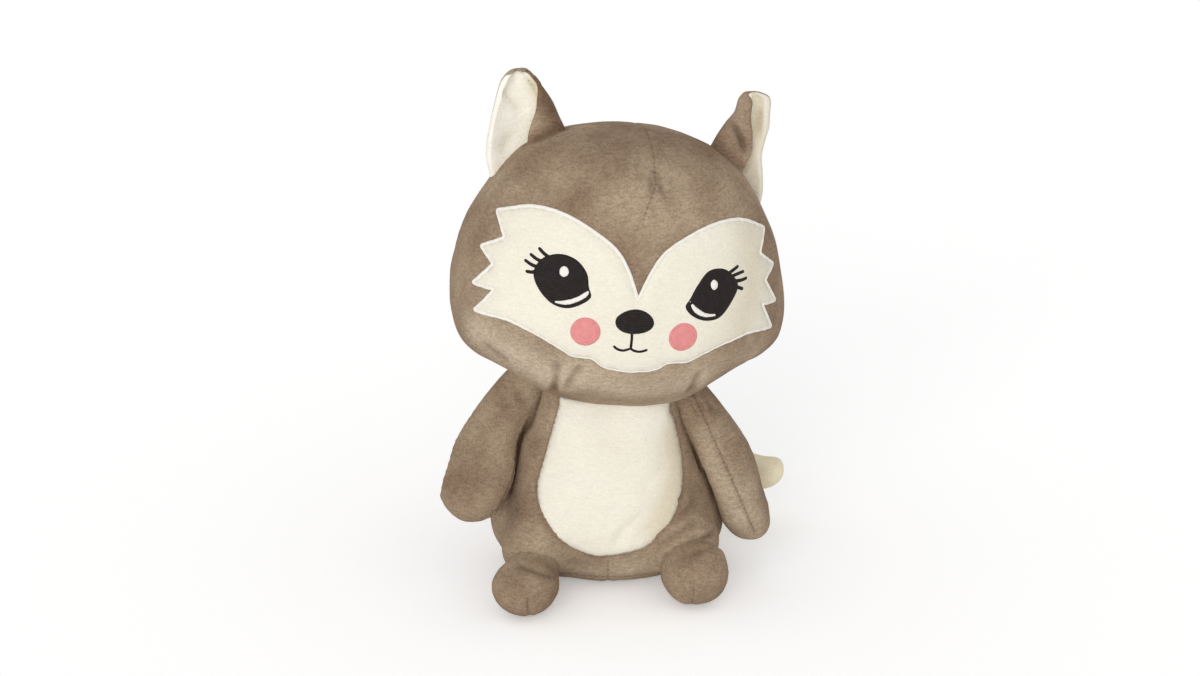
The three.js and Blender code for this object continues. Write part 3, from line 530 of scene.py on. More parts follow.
def plush(name, base, dark, light, stitch_and_groove_shade, contrast, sheen, painted_shade, painted_light, slot=None):
    """Short brushed pile: patches where the pile lies over, fine tufts, a line of stitch holes along the
    seams, painted shade in folds and seam grooves, and painted light and shade along stroked lines.
    """
    base, dark, light = linear(base), linear(dark), linear(light)
    stitch_and_groove_shade, painted_shade, painted_light = linear(stitch_and_groove_shade), linear(painted_shade), linear(painted_light)
    finish = {"Roughness": 0.95, "Specular IOR Level": 0.15, "Sheen Weight": sheen,
              "Sheen Roughness": 0.45, "Sheen Tint": light}
    material, tree, surface = shader(name, finish)
    place = node(tree, "ShaderNodeTexCoord").outputs["Object"]
    patches = noise_at(tree, place, 30)
    strokes = noise_at(tree, place, 110, stretch=(1, 1, 0.6))
    tufts = noise_at(tree, place, 950, 0.7)
    rows = noise_at(tree, place, 480, 0.6, (0.6, 0.6, 1.7))
    pile = computed(tree, "MULTIPLY_ADD", rows, 0.8, tufts)
    colour = mixed(tree, remap(tree, patches, 0.32, 0.68, 0.0, 1.0), dark, light)
    colour = mixed(tree, 1 - contrast, colour, base)
    colour = mixed(tree, remap(tree, strokes, 0.42, 0.7, 0.0, 0.3 * contrast), colour, dark)
    # Painted light and shade from the stroked lines: negative values mix towards the painted shade
    # colour, positive towards the painted light colour
    light_and_shade = value_at(tree, "light_and_shade")
    colour = mixed(tree, remap(tree, light_and_shade, 0.0, -1.0, 0.0, 1.0), colour, painted_shade)
    colour = mixed(tree, remap(tree, light_and_shade, 0.0, 1.0, 0.0, 1.0), colour, painted_light)
    grain = remap(tree, pile, 0.66, 1.14, 1 - 0.32 * contrast, 1 + 0.28 * contrast)
    grains = node(tree, "ShaderNodeVectorMath", colour, operation="SCALE", Scale=grain)
    # Painted shade in folds and seam grooves
    groove_shade = remap(tree, value_at(tree, "fold"), 0.0, 1.0, 0.0, 0.7)
    colour = mixed(tree, groove_shade, grains.outputs[0], stitch_and_groove_shade)
    plug(mixed(tree, seam_line(tree), colour, stitch_and_groove_shade), surface.inputs["Base Color"])
    relief = computed(tree, "MULTIPLY_ADD", strokes, 1.5, pile)
    bumped(tree, surface, relief, strength=0.55, distance=0.6)
    return material, slot or name


# Turns a thread's pitch into the scale of the wave that draws it
WAVE_SCALE = 0.314


def thread(name, colour, shade, pitch, gloss, shine=0.35):
    """Satin stitches: rows of thread that lie side by side along the piece's own stitch map, their
    colour banded across the rows from a painted highlight to a painted shade and speckled with painted
    sheen.
    """
    finish = {"Roughness": gloss, "Specular IOR Level": shine, "Sheen Weight": 0.2 * shine}
    material, tree, surface = shader(name, finish)
    stitches = node(tree, "ShaderNodeUVMap", uv_map="stitch").outputs["UV"]
    wave = node(tree, "ShaderNodeTexWave", Vector=stitches, Scale=WAVE_SCALE / (pitch * MM),
                Distortion=1.2, Detail=1.0, **{"Detail Scale": 0.6})
    lustre = noise_at(tree, node(tree, "ShaderNodeTexCoord").outputs["Object"], 380)
    tone = computed(tree, "MULTIPLY_ADD", lustre, 0.7, wave.outputs["Fac"])
    tinted = mixed(tree, remap(tree, tone, 0.3, 1.3, 0.0, 1.0), linear(shade), linear(colour))
    plug(tinted, surface.inputs["Base Color"])
    bumped(tree, surface, wave.outputs["Fac"], strength=0.5, distance=0.35)
    return material, name


# Each finish is a material and the slot it fills
# Plush colours: its own, dark and light patches of random tone, stitch holes and painted groove shade,
# then the painted shade and painted light of stroked lines
TAUPE = plush("taupe_plush", (152, 132, 110), (130, 107, 87), (174, 154, 130), stitch_and_groove_shade=(84, 64, 50),
              contrast=0.8, sheen=0.1, painted_shade=(112, 88, 70), painted_light=(206, 189, 166))
CREAM_SHADES = {"stitch_and_groove_shade": (190, 175, 145), "contrast": 0.17, "sheen": 0.06,
                "painted_shade": (200, 184, 148), "painted_light": (252, 249, 240)}
CREAM = plush("cream_plush", (239, 234, 220), (233, 226, 208), (243, 239, 227), **CREAM_SHADES)
# A yellower cream for the tail tip, which lies in shade: painted warm shade
TAIL_SHADED_CREAM = plush("tail_shaded_cream_plush", (246, 235, 204), (240, 227, 193), (249, 240, 212),
                   slot="cream_plush", **CREAM_SHADES)
# Each thread: the first colour is its painted highlight, the second its painted shade across the stitch
# rows
BLACK = thread("black_thread", (52, 46, 44), (20, 16, 15), pitch=0.9, gloss=0.7, shine=0.12)
WHITE = thread("white_thread", (253, 250, 243), (238, 233, 222), pitch=0.6, gloss=0.5)
PINK = thread("pink_thread", (244, 164, 162), (208, 118, 120), pitch=0.7, gloss=0.5, shine=0.25)


def dress(obj, finish, body, *replaced):
    """Gives a piece its finish, the body that it rides on, if only one, and the solids it stands for."""
    material, slot = finish
    obj.data.materials.clear()
    obj.data.materials.append(material)
    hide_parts(*replaced)
    if body:
        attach(obj, body)


# Head

HEAD_NODES = ["head_front_left_panel", "head_front_right_panel", "head_back_left_panel",
              "head_back_right_panel", "head_filling"]
head = stuffed("head_cover", HEAD_NODES, voxel=2.8, calm=48, grow=0.6, cap=3.0)
unevenness(head, height=1.0, size=38, seed=1)
unevenness(head, height=0.3, size=11, seed=2)
head_inverse = np.array(HEAD_MATRIX.inverted())


def in_head(points):
    return points @ head_inverse[:3, :3].T + head_inverse[:3, 3]


def head_axis(axis):
    return HEAD_MATRIX.to_3x3() @ Vector(axis)


BROW_END = (44 * MM, 14 * MM)
CHIN_LEVEL, CHIN_FRONT = -40 * MM, -20 * MM


def crown_seam(points):
    """Over the crown from above the brow, down the back and under the chin."""
    local = in_head(points)
    over_brow = fade(local[:, 2], *BROW_END) * (local[:, 1] < HEAD_SEAM_Y)
    down_back = local[:, 1] >= HEAD_SEAM_Y
    under_chin = (local[:, 2] < CHIN_LEVEL) & (local[:, 1] > CHIN_FRONT)
    return np.maximum(over_brow, (down_back | under_chin).astype(float))


# How far the crown seam is pulled aside, from which height up and depth forward, and over what length
CROWN_ASKEW, ASKEW_UP, ASKEW_FORWARD = 6.6, (52, 20), (45, -40)


def crown_askew(points):
    """The crown seam is pulled to the animal's left above the brow and runs to the middle behind."""
    local = in_head(points) / MM
    return CROWN_ASKEW * MM * fade(local[:, 2], *ASKEW_UP) * fade(local[:, 1], *ASKEW_FORWARD)


def all_round(points):
    return np.ones(len(points))


# Where the stuffing fills the cheeks out and where the jaw is drawn in: place, move and reach
HEAD_PADS = [
    ((-80, -18, -30), (-3.3, 0, -1.5), 20),
    ((-84, 0, 27), (-1.8, 0, 0.6), 18),
    ((-57, -18, -48), (2.4, 0, 4.4), 15),
    ((88, -15, -20), (4.5, 0, -1.5), 22),
    ((66, -15, -44), (-3.5, 0, 4.5), 17),
    ((62, -34, -39), (-3.2, 1, 3.4), 13),
    ((55, -31, -46), (-2, 1, 2.5), 12),
    ((90, -10, 12), (2, 0, 0), 30),
]
set_coords(head, swollen(coords(head), HEAD_PADS, in_head(coords(head)), head_axis))
seam_on_plane(head, HEAD_MIDDLE, head_axis((1, 0, 0)), crown_seam, (0, 1, 0.6), depth=0.45,
              askew=crown_askew)
seam_on_plane(head, HEAD_MATRIX @ Vector((0, HEAD_SEAM_Y, 0)), head_axis((0, 1, 0)), all_round,
              (1, 0, 0.8), depth=0.6)
head_surface = surface_of(head)

# Picture lines: with the depth and width of each fold, or the width and amount of each stroke: painted
# light where positive, painted shade where negative
HEAD_FOLDS = [
    ([(655, 166), (659, 182), (668, 200)], 1.5, 2.0),
    ([(650, 172), (652, 198)], 1.0, 1.8),
    ([(557, 360), (556, 377), (553, 394)], 3.2, 2.2),
    ([(582, 364), (573, 378), (564, 391)], 2.2, 2.8),
    ([(700, 370), (695, 384), (688, 397)], 2.0, 3.0),
    ([(480, 340), (494, 352), (512, 364)], 0.9, 4.0),
]
# Painted light on the jaw, which faces down, and painted shade on the crown and at the roots of the ears
HEAD_LIGHT_AND_SHADE = [
    ([(478, 333), (508, 352), (548, 378)], 14, 0.7),
    ([(575, 376), (640, 390), (690, 382)], 13, 0.6),
    ([(705, 375), (755, 352)], 10, 0.2),
    ([(540, 160), (600, 150), (660, 150)], 18, -0.16),
    ([(566, 128), (550, 136), (540, 140), (527, 144)], 3.5, -0.6),
    ([(714, 143), (730, 157), (742, 169)], 3, -0.3),
]
# Folds with painted shade along them, then the strokes of painted light and shade
crease_at(head, head_surface, HEAD_FOLDS)
paint_light_and_shade(head, head_surface, HEAD_LIGHT_AND_SHADE)
dress(head, TAUPE, "head", *HEAD_NODES)


# Face: flat outlines in the head's front view, laid on the head

BROW = [(0, 14.3), (6, 28.6), (13, 38.5), (24.5, 46), (36, 51), (47, 53), (58, 51.5), (71, 45)]
ZIGZAG = [(67.3, 34.5), (78, 26), (72, 20), (81, 6.7), (71, 8), (79.5, -6.8)]
JAW = [(79.5, -6.8), (64, -5.5), (50, -9.5), (36, -16), (30, -19), (20, -19.5), (13, -24), (0, -25.8)]


def mask_outline():
    side = np.array([*curve_through(BROW, 6), *np.array(ZIGZAG, float), *curve_through(JAW, 6)[1:]])
    other = side[1:-1][::-1] * (-1, 1)
    return np.concatenate([side, other])[::-1]


def resampled(outline, spacing, rounding=0):
    """A closed outline with even steps, and corners eased by averaging."""
    closed = closed_line(outline)
    along = np.concatenate([[0], np.cumsum(np.linalg.norm(np.diff(closed, axis=0), axis=1))])
    count = max(8, round(along[-1] / spacing))
    at = np.linspace(0, along[-1], count, endpoint=False)
    points = np.stack([np.interp(at, along, closed[:, k]) for k in (0, 1)], axis=1)
    for _ in range(rounding):
        points = (np.roll(points, 1, 0) + 2 * points + np.roll(points, -1, 0)) / 4
    return points


def inside(points, outline):
    """Which points lie inside an outline, by counting how often a line out of each one crosses it."""
    crossed = np.zeros(len(points), bool)
    for (x0, z0), (x1, z1) in zip(outline, np.roll(outline, -1, 0)):
        spans = (z0 > points[:, 1]) != (z1 > points[:, 1])
        with np.errstate(divide="ignore", invalid="ignore"):
            at = (x1 - x0) * (points[:, 1] - z0) / (z1 - z0) + x0
        crossed ^= spans & (points[:, 0] < at)
    return crossed


def flat_piece(outline, spacing):
    """Points and triangles that fill an outline, with each point's distance to its edge."""
    turned = np.roll(outline, -1, 0)
    if np.sum(outline[:, 0] * turned[:, 1] - turned[:, 0] * outline[:, 1]) < 0:
        outline = outline[::-1]
    low, high = outline.min(0), outline.max(0)
    columns = np.arange(low[0], high[0], spacing)
    rows = np.arange(low[1], high[1], spacing * 0.866)
    grid = np.array([(x + (r % 2) * spacing / 2, z) for r, z in enumerate(rows) for x in columns])
    ring = closed_line(outline)
    grid = grid[inside(grid, outline)]
    grid = grid[near_line(grid, ring)[0] > 0.6 * spacing]
    points = [Vector(p) for p in (*outline, *grid)]
    edges = [(i, (i + 1) % len(outline)) for i in range(len(outline))]
    found = delaunay_2d_cdt(points, edges, [], 1, 1e-6)
    flat = np.array([tuple(p) for p in found[0]])
    return flat, found[2], near_line(flat, ring)[0]


# How far in front of a form its pieces start, and how far back they look for it if they miss
IN_FRONT = 200
MISSED = 130
# The groove inside the rim of a stitched disc: how far in it lies, and its width
GROOVE_INSET, GROOVE_WIDTH = 1.5, 0.4


def laid(flat, surface, matrix):
    """Front-view points dropped straight back on a surface."""
    back = matrix.to_3x3() @ Vector((0, 1, 0))
    places = []
    for x, z in flat:
        start = matrix @ (Vector((x, -IN_FRONT, z)) * MM)
        hit = surface.ray_cast(start, back)[0]
        places.append(hit if hit is not None else surface.find_nearest(start + back * MISSED * MM)[0])
    return np.array([tuple(p) for p in places])


def sewn_patch(name, outline, spacing, base, rise, edge, surface, matrix, thickness=0.8, lie=0.0,
               groove=0.0):
    """A patch of fabric or stitches on a surface, with rounded edges, a stitch map and closed sides."""
    flat, faces, inset = flat_piece(outline, spacing)
    obj = mesh_object(name, laid(flat, surface, matrix), faces)
    height = base + rise * (1 - bell(inset, edge)) - groove * bell(inset - GROOVE_INSET, GROOVE_WIDTH)
    raise_by(obj, height * MM)
    stitch_map(obj, flat, lie)
    apply_modifier(obj, "SOLIDIFY", thickness=thickness * MM, offset=-1)
    bpy.ops.object.shade_smooth()
    return obj


def stitch_map(obj, flat, lie):
    """Lays the thread: the map's first axis runs across the stitches."""
    turn = np.array([[math.cos(lie), math.sin(lie)], [-math.sin(lie), math.cos(lie)]])
    mapped = (flat * MM) @ turn.T
    layer = obj.data.uv_layers.new(name="stitch")
    corner = np.empty(len(obj.data.loops), np.int32)
    obj.data.loops.foreach_get("vertex_index", corner)
    layer.data.foreach_set("uv", mapped[corner].astype(np.float32).ravel())


# How deep the underside of a satin band lies. Along the jaw, from a level down and a side inward, it
# loses a share of its width and of its height
BAND_ROOT = 0.6
JAW_LEVEL, JAW_SIDE = (-3, -8), (74, -6)
JAW_NARROW, JAW_FLAT = 0.5, 0.4


def satin_band(name, outline, width, base, rise, surface, matrix):
    """A raised row of satin stitches along an outline, narrower and flatter along the jaw."""
    places = laid(outline, surface, matrix)
    jaw = fade(outline[:, 1:], *JAW_LEVEL) * fade(np.abs(outline[:, :1]), *JAW_SIDE)
    width, rise = width * (1 - JAW_NARROW * jaw), rise * (1 - JAW_FLAT * jaw)
    count = len(places)
    upward = np.array([tuple(surface.find_nearest(Vector(p))[1]) for p in places])
    for _ in range(4):
        upward = (np.roll(upward, 1, 0) + upward + np.roll(upward, -1, 0)) / 3
    upward = unit(upward)
    across = unit(np.cross(np.roll(places, -1, 0) - np.roll(places, 1, 0), upward))
    rings = [
        places + across * -math.cos(a) * width / 2 * MM
        + upward * (base + rise * math.sin(a)) * MM
        for a in np.linspace(0, math.pi, 7)
    ]
    rings.append(places + upward * ((base - BAND_ROOT) * MM))
    rows = len(rings)
    points = np.stack(rings, 1).reshape(-1, 3)
    obj = mesh_object(name, points, ring_faces(count, rows, closed=True))
    edit_whole(obj, bpy.ops.mesh.normals_make_consistent, inside=False)
    run = np.concatenate([[0], np.cumsum(np.linalg.norm(np.diff(places, axis=0), axis=1))]) / MM
    stitch_map(obj, np.stack([np.repeat(run, rows), np.tile(np.arange(rows), count) * 0.4], 1), 0.0)
    bpy.ops.object.shade_smooth()
    return obj


mask_edge = resampled(mask_outline(), 0.9, rounding=1)
mask_line = laid(mask_edge[::2], head_surface, HEAD_MATRIX)
# A groove round the mask, with faint painted shade in it
crease(head, closed_line(mask_line), depth=0.7, width=3.4, lip=0.1, run_out=0.1, pucker=0.25,
       pitch=7, dark=0.08)
head_surface = surface_of(head)

mask = sewn_patch("face_mask_plush", mask_edge, surface=head_surface, matrix=HEAD_MATRIX, spacing=1.7,
                  base=0.25, rise=0.55, edge=1.6)
pile_ready(mask)
# Painted shade down the mask's left side, which is turned from the light, and a faint darkening over the
# whole mask
MASK_LIGHT_AND_SHADE = [
    ([(748, 240), (752, 280), (740, 325)], 13, -0.34),
    ([(510, 260), (600, 300), (720, 290)], 60, -0.09),
]
paint_light_and_shade(mask, head_surface, MASK_LIGHT_AND_SHADE)
dress(mask, CREAM, "head", "face_mask")
edging = satin_band("face_mask_edging_stitches", resampled(mask_outline(), 0.7, rounding=2), width=1.9,
                    base=0.3, rise=0.65, surface=head_surface, matrix=HEAD_MATRIX)
dress(edging, WHITE, "head", "face_mask_edging")

# Height of stitches over the head: on the mask, and on other stitches
STITCH_BASE = 0.82
OVER_STITCHES = STITCH_BASE + 0.5


def oval(x, z, half_width, half_height, count=40):
    turn = np.linspace(0, 2 * np.pi, count, endpoint=False)
    return np.stack([x + half_width * np.cos(turn), z + half_height * np.sin(turn)], 1)


def stroke(points, width, taper=0.0):
    """A stitched line with round ends."""
    line = curve_through(points, 8)
    step = np.gradient(line, axis=0)
    side = unit(np.stack([-step[:, 1], step[:, 0]], 1))
    share = np.linspace(0, 1, len(line))
    half = width / 2 * (1 - taper * share)
    half *= np.sqrt(np.clip(1 - (2 * np.abs(share - 0.5)) ** 14, 0.05, 1))
    return np.vstack([line - side * half[:, None], (line + side * half[:, None])[::-1]])


def embroidered(name, outlines, finish, rise, base=STITCH_BASE, lie=0.0, edge=0.55, groove=0.0):
    """One piece of satin stitches on the face, of one or more outlines."""
    spacing = 0.4 if groove else 0.9
    pieces = [
        sewn_patch(f"{name}_stitches", resampled(outline, 0.5), spacing, base, rise, edge, head_surface,
                   HEAD_MATRIX, thickness=0.7, lie=lie, groove=groove)
        for outline in outlines
    ]
    pick(*pieces[1:], pieces[0])
    if len(pieces) > 1:
        bpy.ops.object.join()
    dress(pieces[0], finish, "head", name)


def on_face(line, closed=False):
    """Picture points, as front-view points of the head."""
    line = [*line, line[0]] if closed else line
    found = in_head(seen_at(head_surface, line, 1)) / MM
    return found[:-1 if closed else None, (0, 2)]


def shape_on_face(line):
    return curve_through(on_face(line, closed=True), 5, closed=True)


# Picture points of the stitched features, the animal's right eye first
EYES = {
    "right": [(534, 273), (538, 263), (547, 256), (562, 254), (577, 260), (587, 273), (589, 287),
              (591, 297), (582, 304), (568, 308), (555, 305), (545, 297), (537, 285)],
    "left": [(685, 307), (692, 316), (705, 320.5), (719, 317), (731, 301), (737, 286), (732, 275),
             (722, 268.5), (708, 271), (697, 285), (690, 298)],
}
LASHES = {
    "right": [[(552, 259), (545, 254), (539, 247.5)], [(547, 263), (538, 259.5), (530.5, 253.5)],
              [(541, 267.5), (533, 265), (525, 259.5)], [(540, 270), (533, 272), (526, 271)]],
    "left": [[(728, 273), (734, 268.5), (737.5, 265.5)], [(731, 276), (738, 273), (743, 271)],
             [(733, 281), (740, 280), (746, 277.5)], [(733, 286), (738, 287.5), (742, 289)]],
}
CRESCENTS = {
    "right": [(552.5, 301), (566, 304.6), (578, 301.5), (587.5, 296), (588, 290.5), (577, 296.5),
              (565, 299.8)],
    "left": [(689, 301), (692.5, 311), (703, 316.8), (717, 315), (718, 313.2), (705, 312.6),
             (695.5, 306.5)],
}
GLINTS = {"right": (564.6, 271.4, 4.9, 5.6), "left": (713, 284.6, 3.8, 5.4)}
NOSE = [(615.3, 322), (616.5, 317.5), (621, 313.5), (628, 310.3), (636, 309.2), (644, 311),
        (650, 315), (653.2, 320), (653.4, 325), (649.5, 329.8), (642, 332.8), (632, 333.6),
        (622.5, 331.4), (617, 327)]
MOUTH = [[(632, 331), (631.5, 340), (630.5, 349)],
         [(613.5, 345), (617, 348.2), (623, 349.8), (630.5, 347.8)],
         [(630.5, 347.8), (634, 350), (640, 351), (647.5, 349)]]
# Cheeks, in the head's front view
CHEEK_X, CHEEK_Z, CHEEK_RADIUS = 25.3, -3.9, 7.6

for word, side in SIDES:
    lashes = [stroke(on_face(line), width=2.0, taper=0.2) for line in LASHES[word]]
    embroidered(f"{word}_eye", [shape_on_face(EYES[word]), *lashes], BLACK, rise=0.55, lie=1.2 * side)
    embroidered(f"{word}_eye_white", [shape_on_face(CRESCENTS[word])], WHITE, rise=0.3,
                base=OVER_STITCHES, lie=0.5 * side, edge=0.4)
    glint = on_face(oval(*GLINTS[word], 24), closed=True)
    embroidered(f"{word}_eye_glint", [glint], WHITE, rise=0.3, base=OVER_STITCHES, lie=0.2, edge=0.4)
    cheek = oval(side * CHEEK_X, CHEEK_Z, CHEEK_RADIUS, CHEEK_RADIUS)
    embroidered(f"{word}_cheek", [cheek], PINK, rise=0.5, lie=0.8 * side, groove=0.4)

embroidered("nose", [shape_on_face(NOSE)], BLACK, rise=0.8, lie=1.57)
embroidered("mouth", [stroke(on_face(line), width=1.4) for line in MOUTH], BLACK, rise=0.5, lie=0.3)


# Ears: a leaf with a taupe back, and a cream lining that rolls over the rim. Its inner edge is turned
# forward in a flap. Levels: height, then how far out the outer rim, the flap's rim and the fold lie

EAR_LEVELS = {
    "right": [(-24, 31, 8, -15), (-6, 30.7, 7.5, -15.3), (4, 29.8, 6.8, -15.1),
              (14, 26.6, 3.8, -13.7), (25, 21.4, -4.4, -11.4), (33, 16.8, -6.4, -9.2),
              (39, 13.4, -5.4, -6.6), (42, 11.2, -3, -5), (44, 8.6, -0.8, -3.5)],
    "left": [(-24, 38, 18, -4), (-6, 34.3, 17, -4), (4, 29.2, 16.6, -3.8), (13, 24.2, 16.6, -3.2),
             (22, 22, 12.6, -1.9), (28.5, 20, 8, -0.4), (35, 16.8, 4.4, -1.9), (39.5, 14.2, 2, -1.6),
             (41.6, 11.4, 1, -0.8)],
}
EAR_BACK, EAR_TIP_BACK = 3.2, 2.2
EAR_LINING = 2.4
EAR_CURL, EAR_TIP_CURL = 4.6, 3.1
EAR_BOW = 3
EAR_RIM = 1.6
EAR_TIP_EASE = 7
EAR_TIP_SLOPE = {"left": 0.34, "right": 0}
EAR_CLOTH = 0.4
# The tip's closing rings: their size and how far each is lifted. Then the middle of the tip
EAR_CAP = ((0.85, 0.5), (0.45, 0.7))
EAR_TIP_LIFT = 0.7
# The points of a section that are lining: from the flap's rim to the outer rim
EAR_LINING_POINTS = range(28, 60)
# How much painted shade lies along the creases of each ear
EAR_FOLD_SHADE = {"left": 0.8, "right": 0.25}


def ear_frame(side):
    lean_out, lean_up = math.sin(EAR_LEAN), math.cos(EAR_LEAN)
    turn = HEAD_MATRIX.to_3x3()
    base = HEAD_MATRIX @ (Vector((side * EAR_BASE[0], EAR_BASE[1], EAR_BASE[2])) * MM)
    rise = turn @ Vector((side * lean_out, 0, lean_up))
    across = turn @ Vector((side * lean_up, 0, -lean_out))
    return (np.array(v) for v in (base, rise, across, turn @ Vector((0, -1, 0))))


def ear_section(outer, rim, fold, curl, thick):
    """One level from the tip: the back to the fold and flap, its rim, the lining and the outer rim."""
    turn = fold + thick + curl
    bent = math.pi - math.asin(min(max((turn - rim) / curl, 0), 1))
    share = np.linspace(0, 1, 13)[:-1]
    leaf = np.stack([outer - EAR_RIM + (turn - outer + EAR_RIM) * share,
                     1 - (1 + curl) * share - EAR_BOW * np.sin(np.pi * share)], 1)
    angle = np.linspace(-np.pi / 2, -np.pi / 2 - bent, 8)
    bend = np.stack([turn + curl * np.cos(angle), curl * np.sin(angle)], 1)
    reach = max(rim - EAR_RIM - turn, 0) + 0.5
    flap = bend[-1] + reach * np.linspace(0.2, 1, 6)[:, None] * (-math.cos(bent), math.sin(bent))
    path = np.vstack([leaf, bend, flap])
    step = unit(np.gradient(path, axis=0))
    back = np.stack([-step[:, 1], step[:, 0]], 1)
    middle, half = (thick - EAR_LINING) / 2, (thick + EAR_LINING) / 2
    roll = np.linspace(0, np.pi, 7)[1:-1, None]
    flap_rim = path[-1] + back[-1] * (middle + half * np.cos(roll)) + step[-1] * EAR_RIM * np.sin(roll)
    outer_rim = path[0] + back[0] * (middle - half * np.cos(roll)) - step[0] * EAR_RIM * np.sin(roll)
    return np.vstack([path + back * thick, flap_rim, (path - back * EAR_LINING)[::-1], outer_rim])


# Painted shade at the roots of the ears and inside them by the folds; painted light on the right ear's
# outer rim and a little on the left ear
EAR_LIGHT_AND_SHADE = {
    "right": [([(566, 126), (548, 134), (530, 142)], 4.5, -0.9), ([(538, 84), (552, 112)], 7, -0.95),
              ([(508, 85), (503, 120), (497, 160)], 12, 0.6)],
    "left": [([(738, 100), (742, 125)], 7, 0.22), ([(716, 142), (730, 158), (744, 168)], 3, -0.5),
             ([(752, 165), (756, 190)], 6, -0.3), ([(760, 100), (759, 145)], 6, -0.35)],
}
EAR_FOLDS = {
    "right": [([(502, 88), (514, 101), (527, 114)], 2.0, 2.4),
              ([(514, 128), (508, 142), (501, 158)], 1.4, 4.5)],
    "left": [([(727, 120), (736, 130), (741, 139), (747, 156)], 3.2, 1.7),
             ([(760, 104), (757, 122), (758, 140)], 1.0, 3.0)],
}
for word, side in SIDES:
    base, rise, across, ahead = ear_frame(side)
    levels = curve_through(EAR_LEVELS[word], 3)
    rings = []
    for height, outer, rim, fold in levels:
        share = max(0, height / levels[-1][0])
        curl = EAR_CURL + (EAR_TIP_CURL - EAR_CURL) * share
        thick = EAR_BACK + (EAR_TIP_BACK - EAR_BACK) * share
        section = ear_section(outer, rim, fold, curl, thick) * MM
        rings.append(base + rise * height * MM + section[:, :1] * across + section[:, 1:] * ahead)
    middle = rings[-1].mean(0)
    rings += [middle + (rings[-1] - middle) * size + rise * lift * MM for size, lift in EAR_CAP]
    count = len(rings[0])
    points = np.vstack([*rings, rings[0].mean(0), middle + rise * EAR_TIP_LIFT * MM])
    root, tip = len(points) - 2, len(points) - 1
    is_cream = [k in EAR_LINING_POINTS for k in range(count)]
    faces = ring_faces(len(rings), count, closed=False)
    cream = is_cream * (len(rings) - 3) + (is_cream if side > 0 else [False] * count) * 2
    top = (len(rings) - 1) * count
    for k in range(count):
        faces += [((k + 1) % count, k, root), (top + k, top + (k + 1) % count, tip)]
        cream += [is_cream[k], side > 0 and is_cream[k]]
    ear = mesh_object(f"{word}_ear_back_plush", points, faces)
    ear.data.materials.append(TAUPE[0])
    ear.data.materials.append(CREAM[0])
    ear.data.polygons.foreach_set("material_index", np.array(cream, np.int32))
    edit_whole(ear, bpy.ops.mesh.normals_make_consistent, inside=False)
    apply_modifier(ear, "SUBSURF", levels=2, render_levels=2)
    points = coords(ear)
    at_tip = fade((points - base) @ rise / MM, levels[-1][0] - EAR_TIP_EASE, EAR_TIP_EASE)
    aside = (points - middle) @ across
    set_coords(ear, points + (EAR_TIP_SLOPE[word] * at_tip * aside)[:, None] * rise)
    eased = ear.vertex_groups.new(name="tip")
    for i in np.flatnonzero(at_tip):
        eased.add([int(i)], float(at_tip[i]), "REPLACE")
    apply_modifier(ear, "SMOOTH", factor=0.5, iterations=50, vertex_group="tip")
    ear.vertex_groups.clear()
    bpy.ops.object.shade_smooth()
    pile_ready(ear)
    unevenness(ear, height=0.7, size=15, seed=20 + side)
    surface = surface_of(ear)
    crease_at(ear, surface, EAR_FOLDS[word], dark=EAR_FOLD_SHADE[word])
    paint_light_and_shade(ear, surface, EAR_LIGHT_AND_SHADE[word])
    edit_whole(ear, bpy.ops.mesh.separate, type="MATERIAL")
    for piece in list(bpy.context.selected_objects):
        is_lining = piece.data.materials[0] == CREAM[0]
        layer = f"{word}_ear_lining" if is_lining else f"{word}_ear_back"
        apply_modifier(piece, "SOLIDIFY", thickness=EAR_CLOTH * MM, offset=-1)
        piece.name = f"{layer}_plush"
        dress(piece, CREAM if is_lining else TAUPE, None, layer)
        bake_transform(piece)


# Torso, with the gathered neck

# Round forms that fill the sockets for the limbs and tail, and the chest: radius, or place and radius
HIP_RADIUS, SHOULDER_RADIUS, TAIL_RADIUS = 20, 12, 8.5
HIP_MOVE = Vector((0, 3, 8))
CHEST = [((-12, -6, 90), 30), ((12, -6, 90), 30)]


BODY_NODES = ["body_left_panel", "body_right_panel", "seat_panel", "body_filling", "pellet_bag",
              "neck_collar", "neck_filling"]
hips = [(Vector(LIMBS[leg][0]) + HIP_MOVE, HIP_RADIUS) for leg in ("left_leg", "right_leg")]
shoulders = [(LIMBS[arm][0], SHOULDER_RADIUS) for arm in ("left_arm", "right_arm")]
body = stuffed(
    "body_cover", [*BODY_NODES, "belly_panel"], voxel=3.6, calm=22, grow=0.8, cap=3.0,
    plugs=[*hips, *shoulders, (TAIL_ROOT, TAIL_RADIUS), *CHEST],
)
# Above this level the neck is drawn up into the head, and the hips are fuller than the solids
NECK_LEVEL, NECK_RISE = 103 * MM, 8 * MM
BODY_PADS = [((-60, -10, 24), (-4.5, 0, 0), 20), ((58, -14, 24), (2.5, 0, 0), 18)]
points = coords(body)
points[:, 2] += NECK_RISE * fade(points[:, 2], NECK_LEVEL, NECK_RISE)
set_coords(body, swollen(points, BODY_PADS))
unevenness(body, height=0.9, size=30, seed=3)
unevenness(body, height=0.3, size=10, seed=4)
body_surface = surface_of(body)


BELLY_END = (24 * MM, -3 * MM)


def under_belly(points):
    """Below the belly panel in front, and all the way up behind."""
    front = fade(points[:, 2], *BELLY_END) * (points[:, 1] < 0)
    return np.maximum(front, points[:, 1] > 0)


seam_on_plane(body, (0, 0, 0), (1, 0, 0), under_belly, (0, 0.4, 1), depth=0.5)
seam_on_plane(body, (0, 0, 7 * MM), (0, 0, 1), all_round, (1, 0.7, 0), depth=0.4)

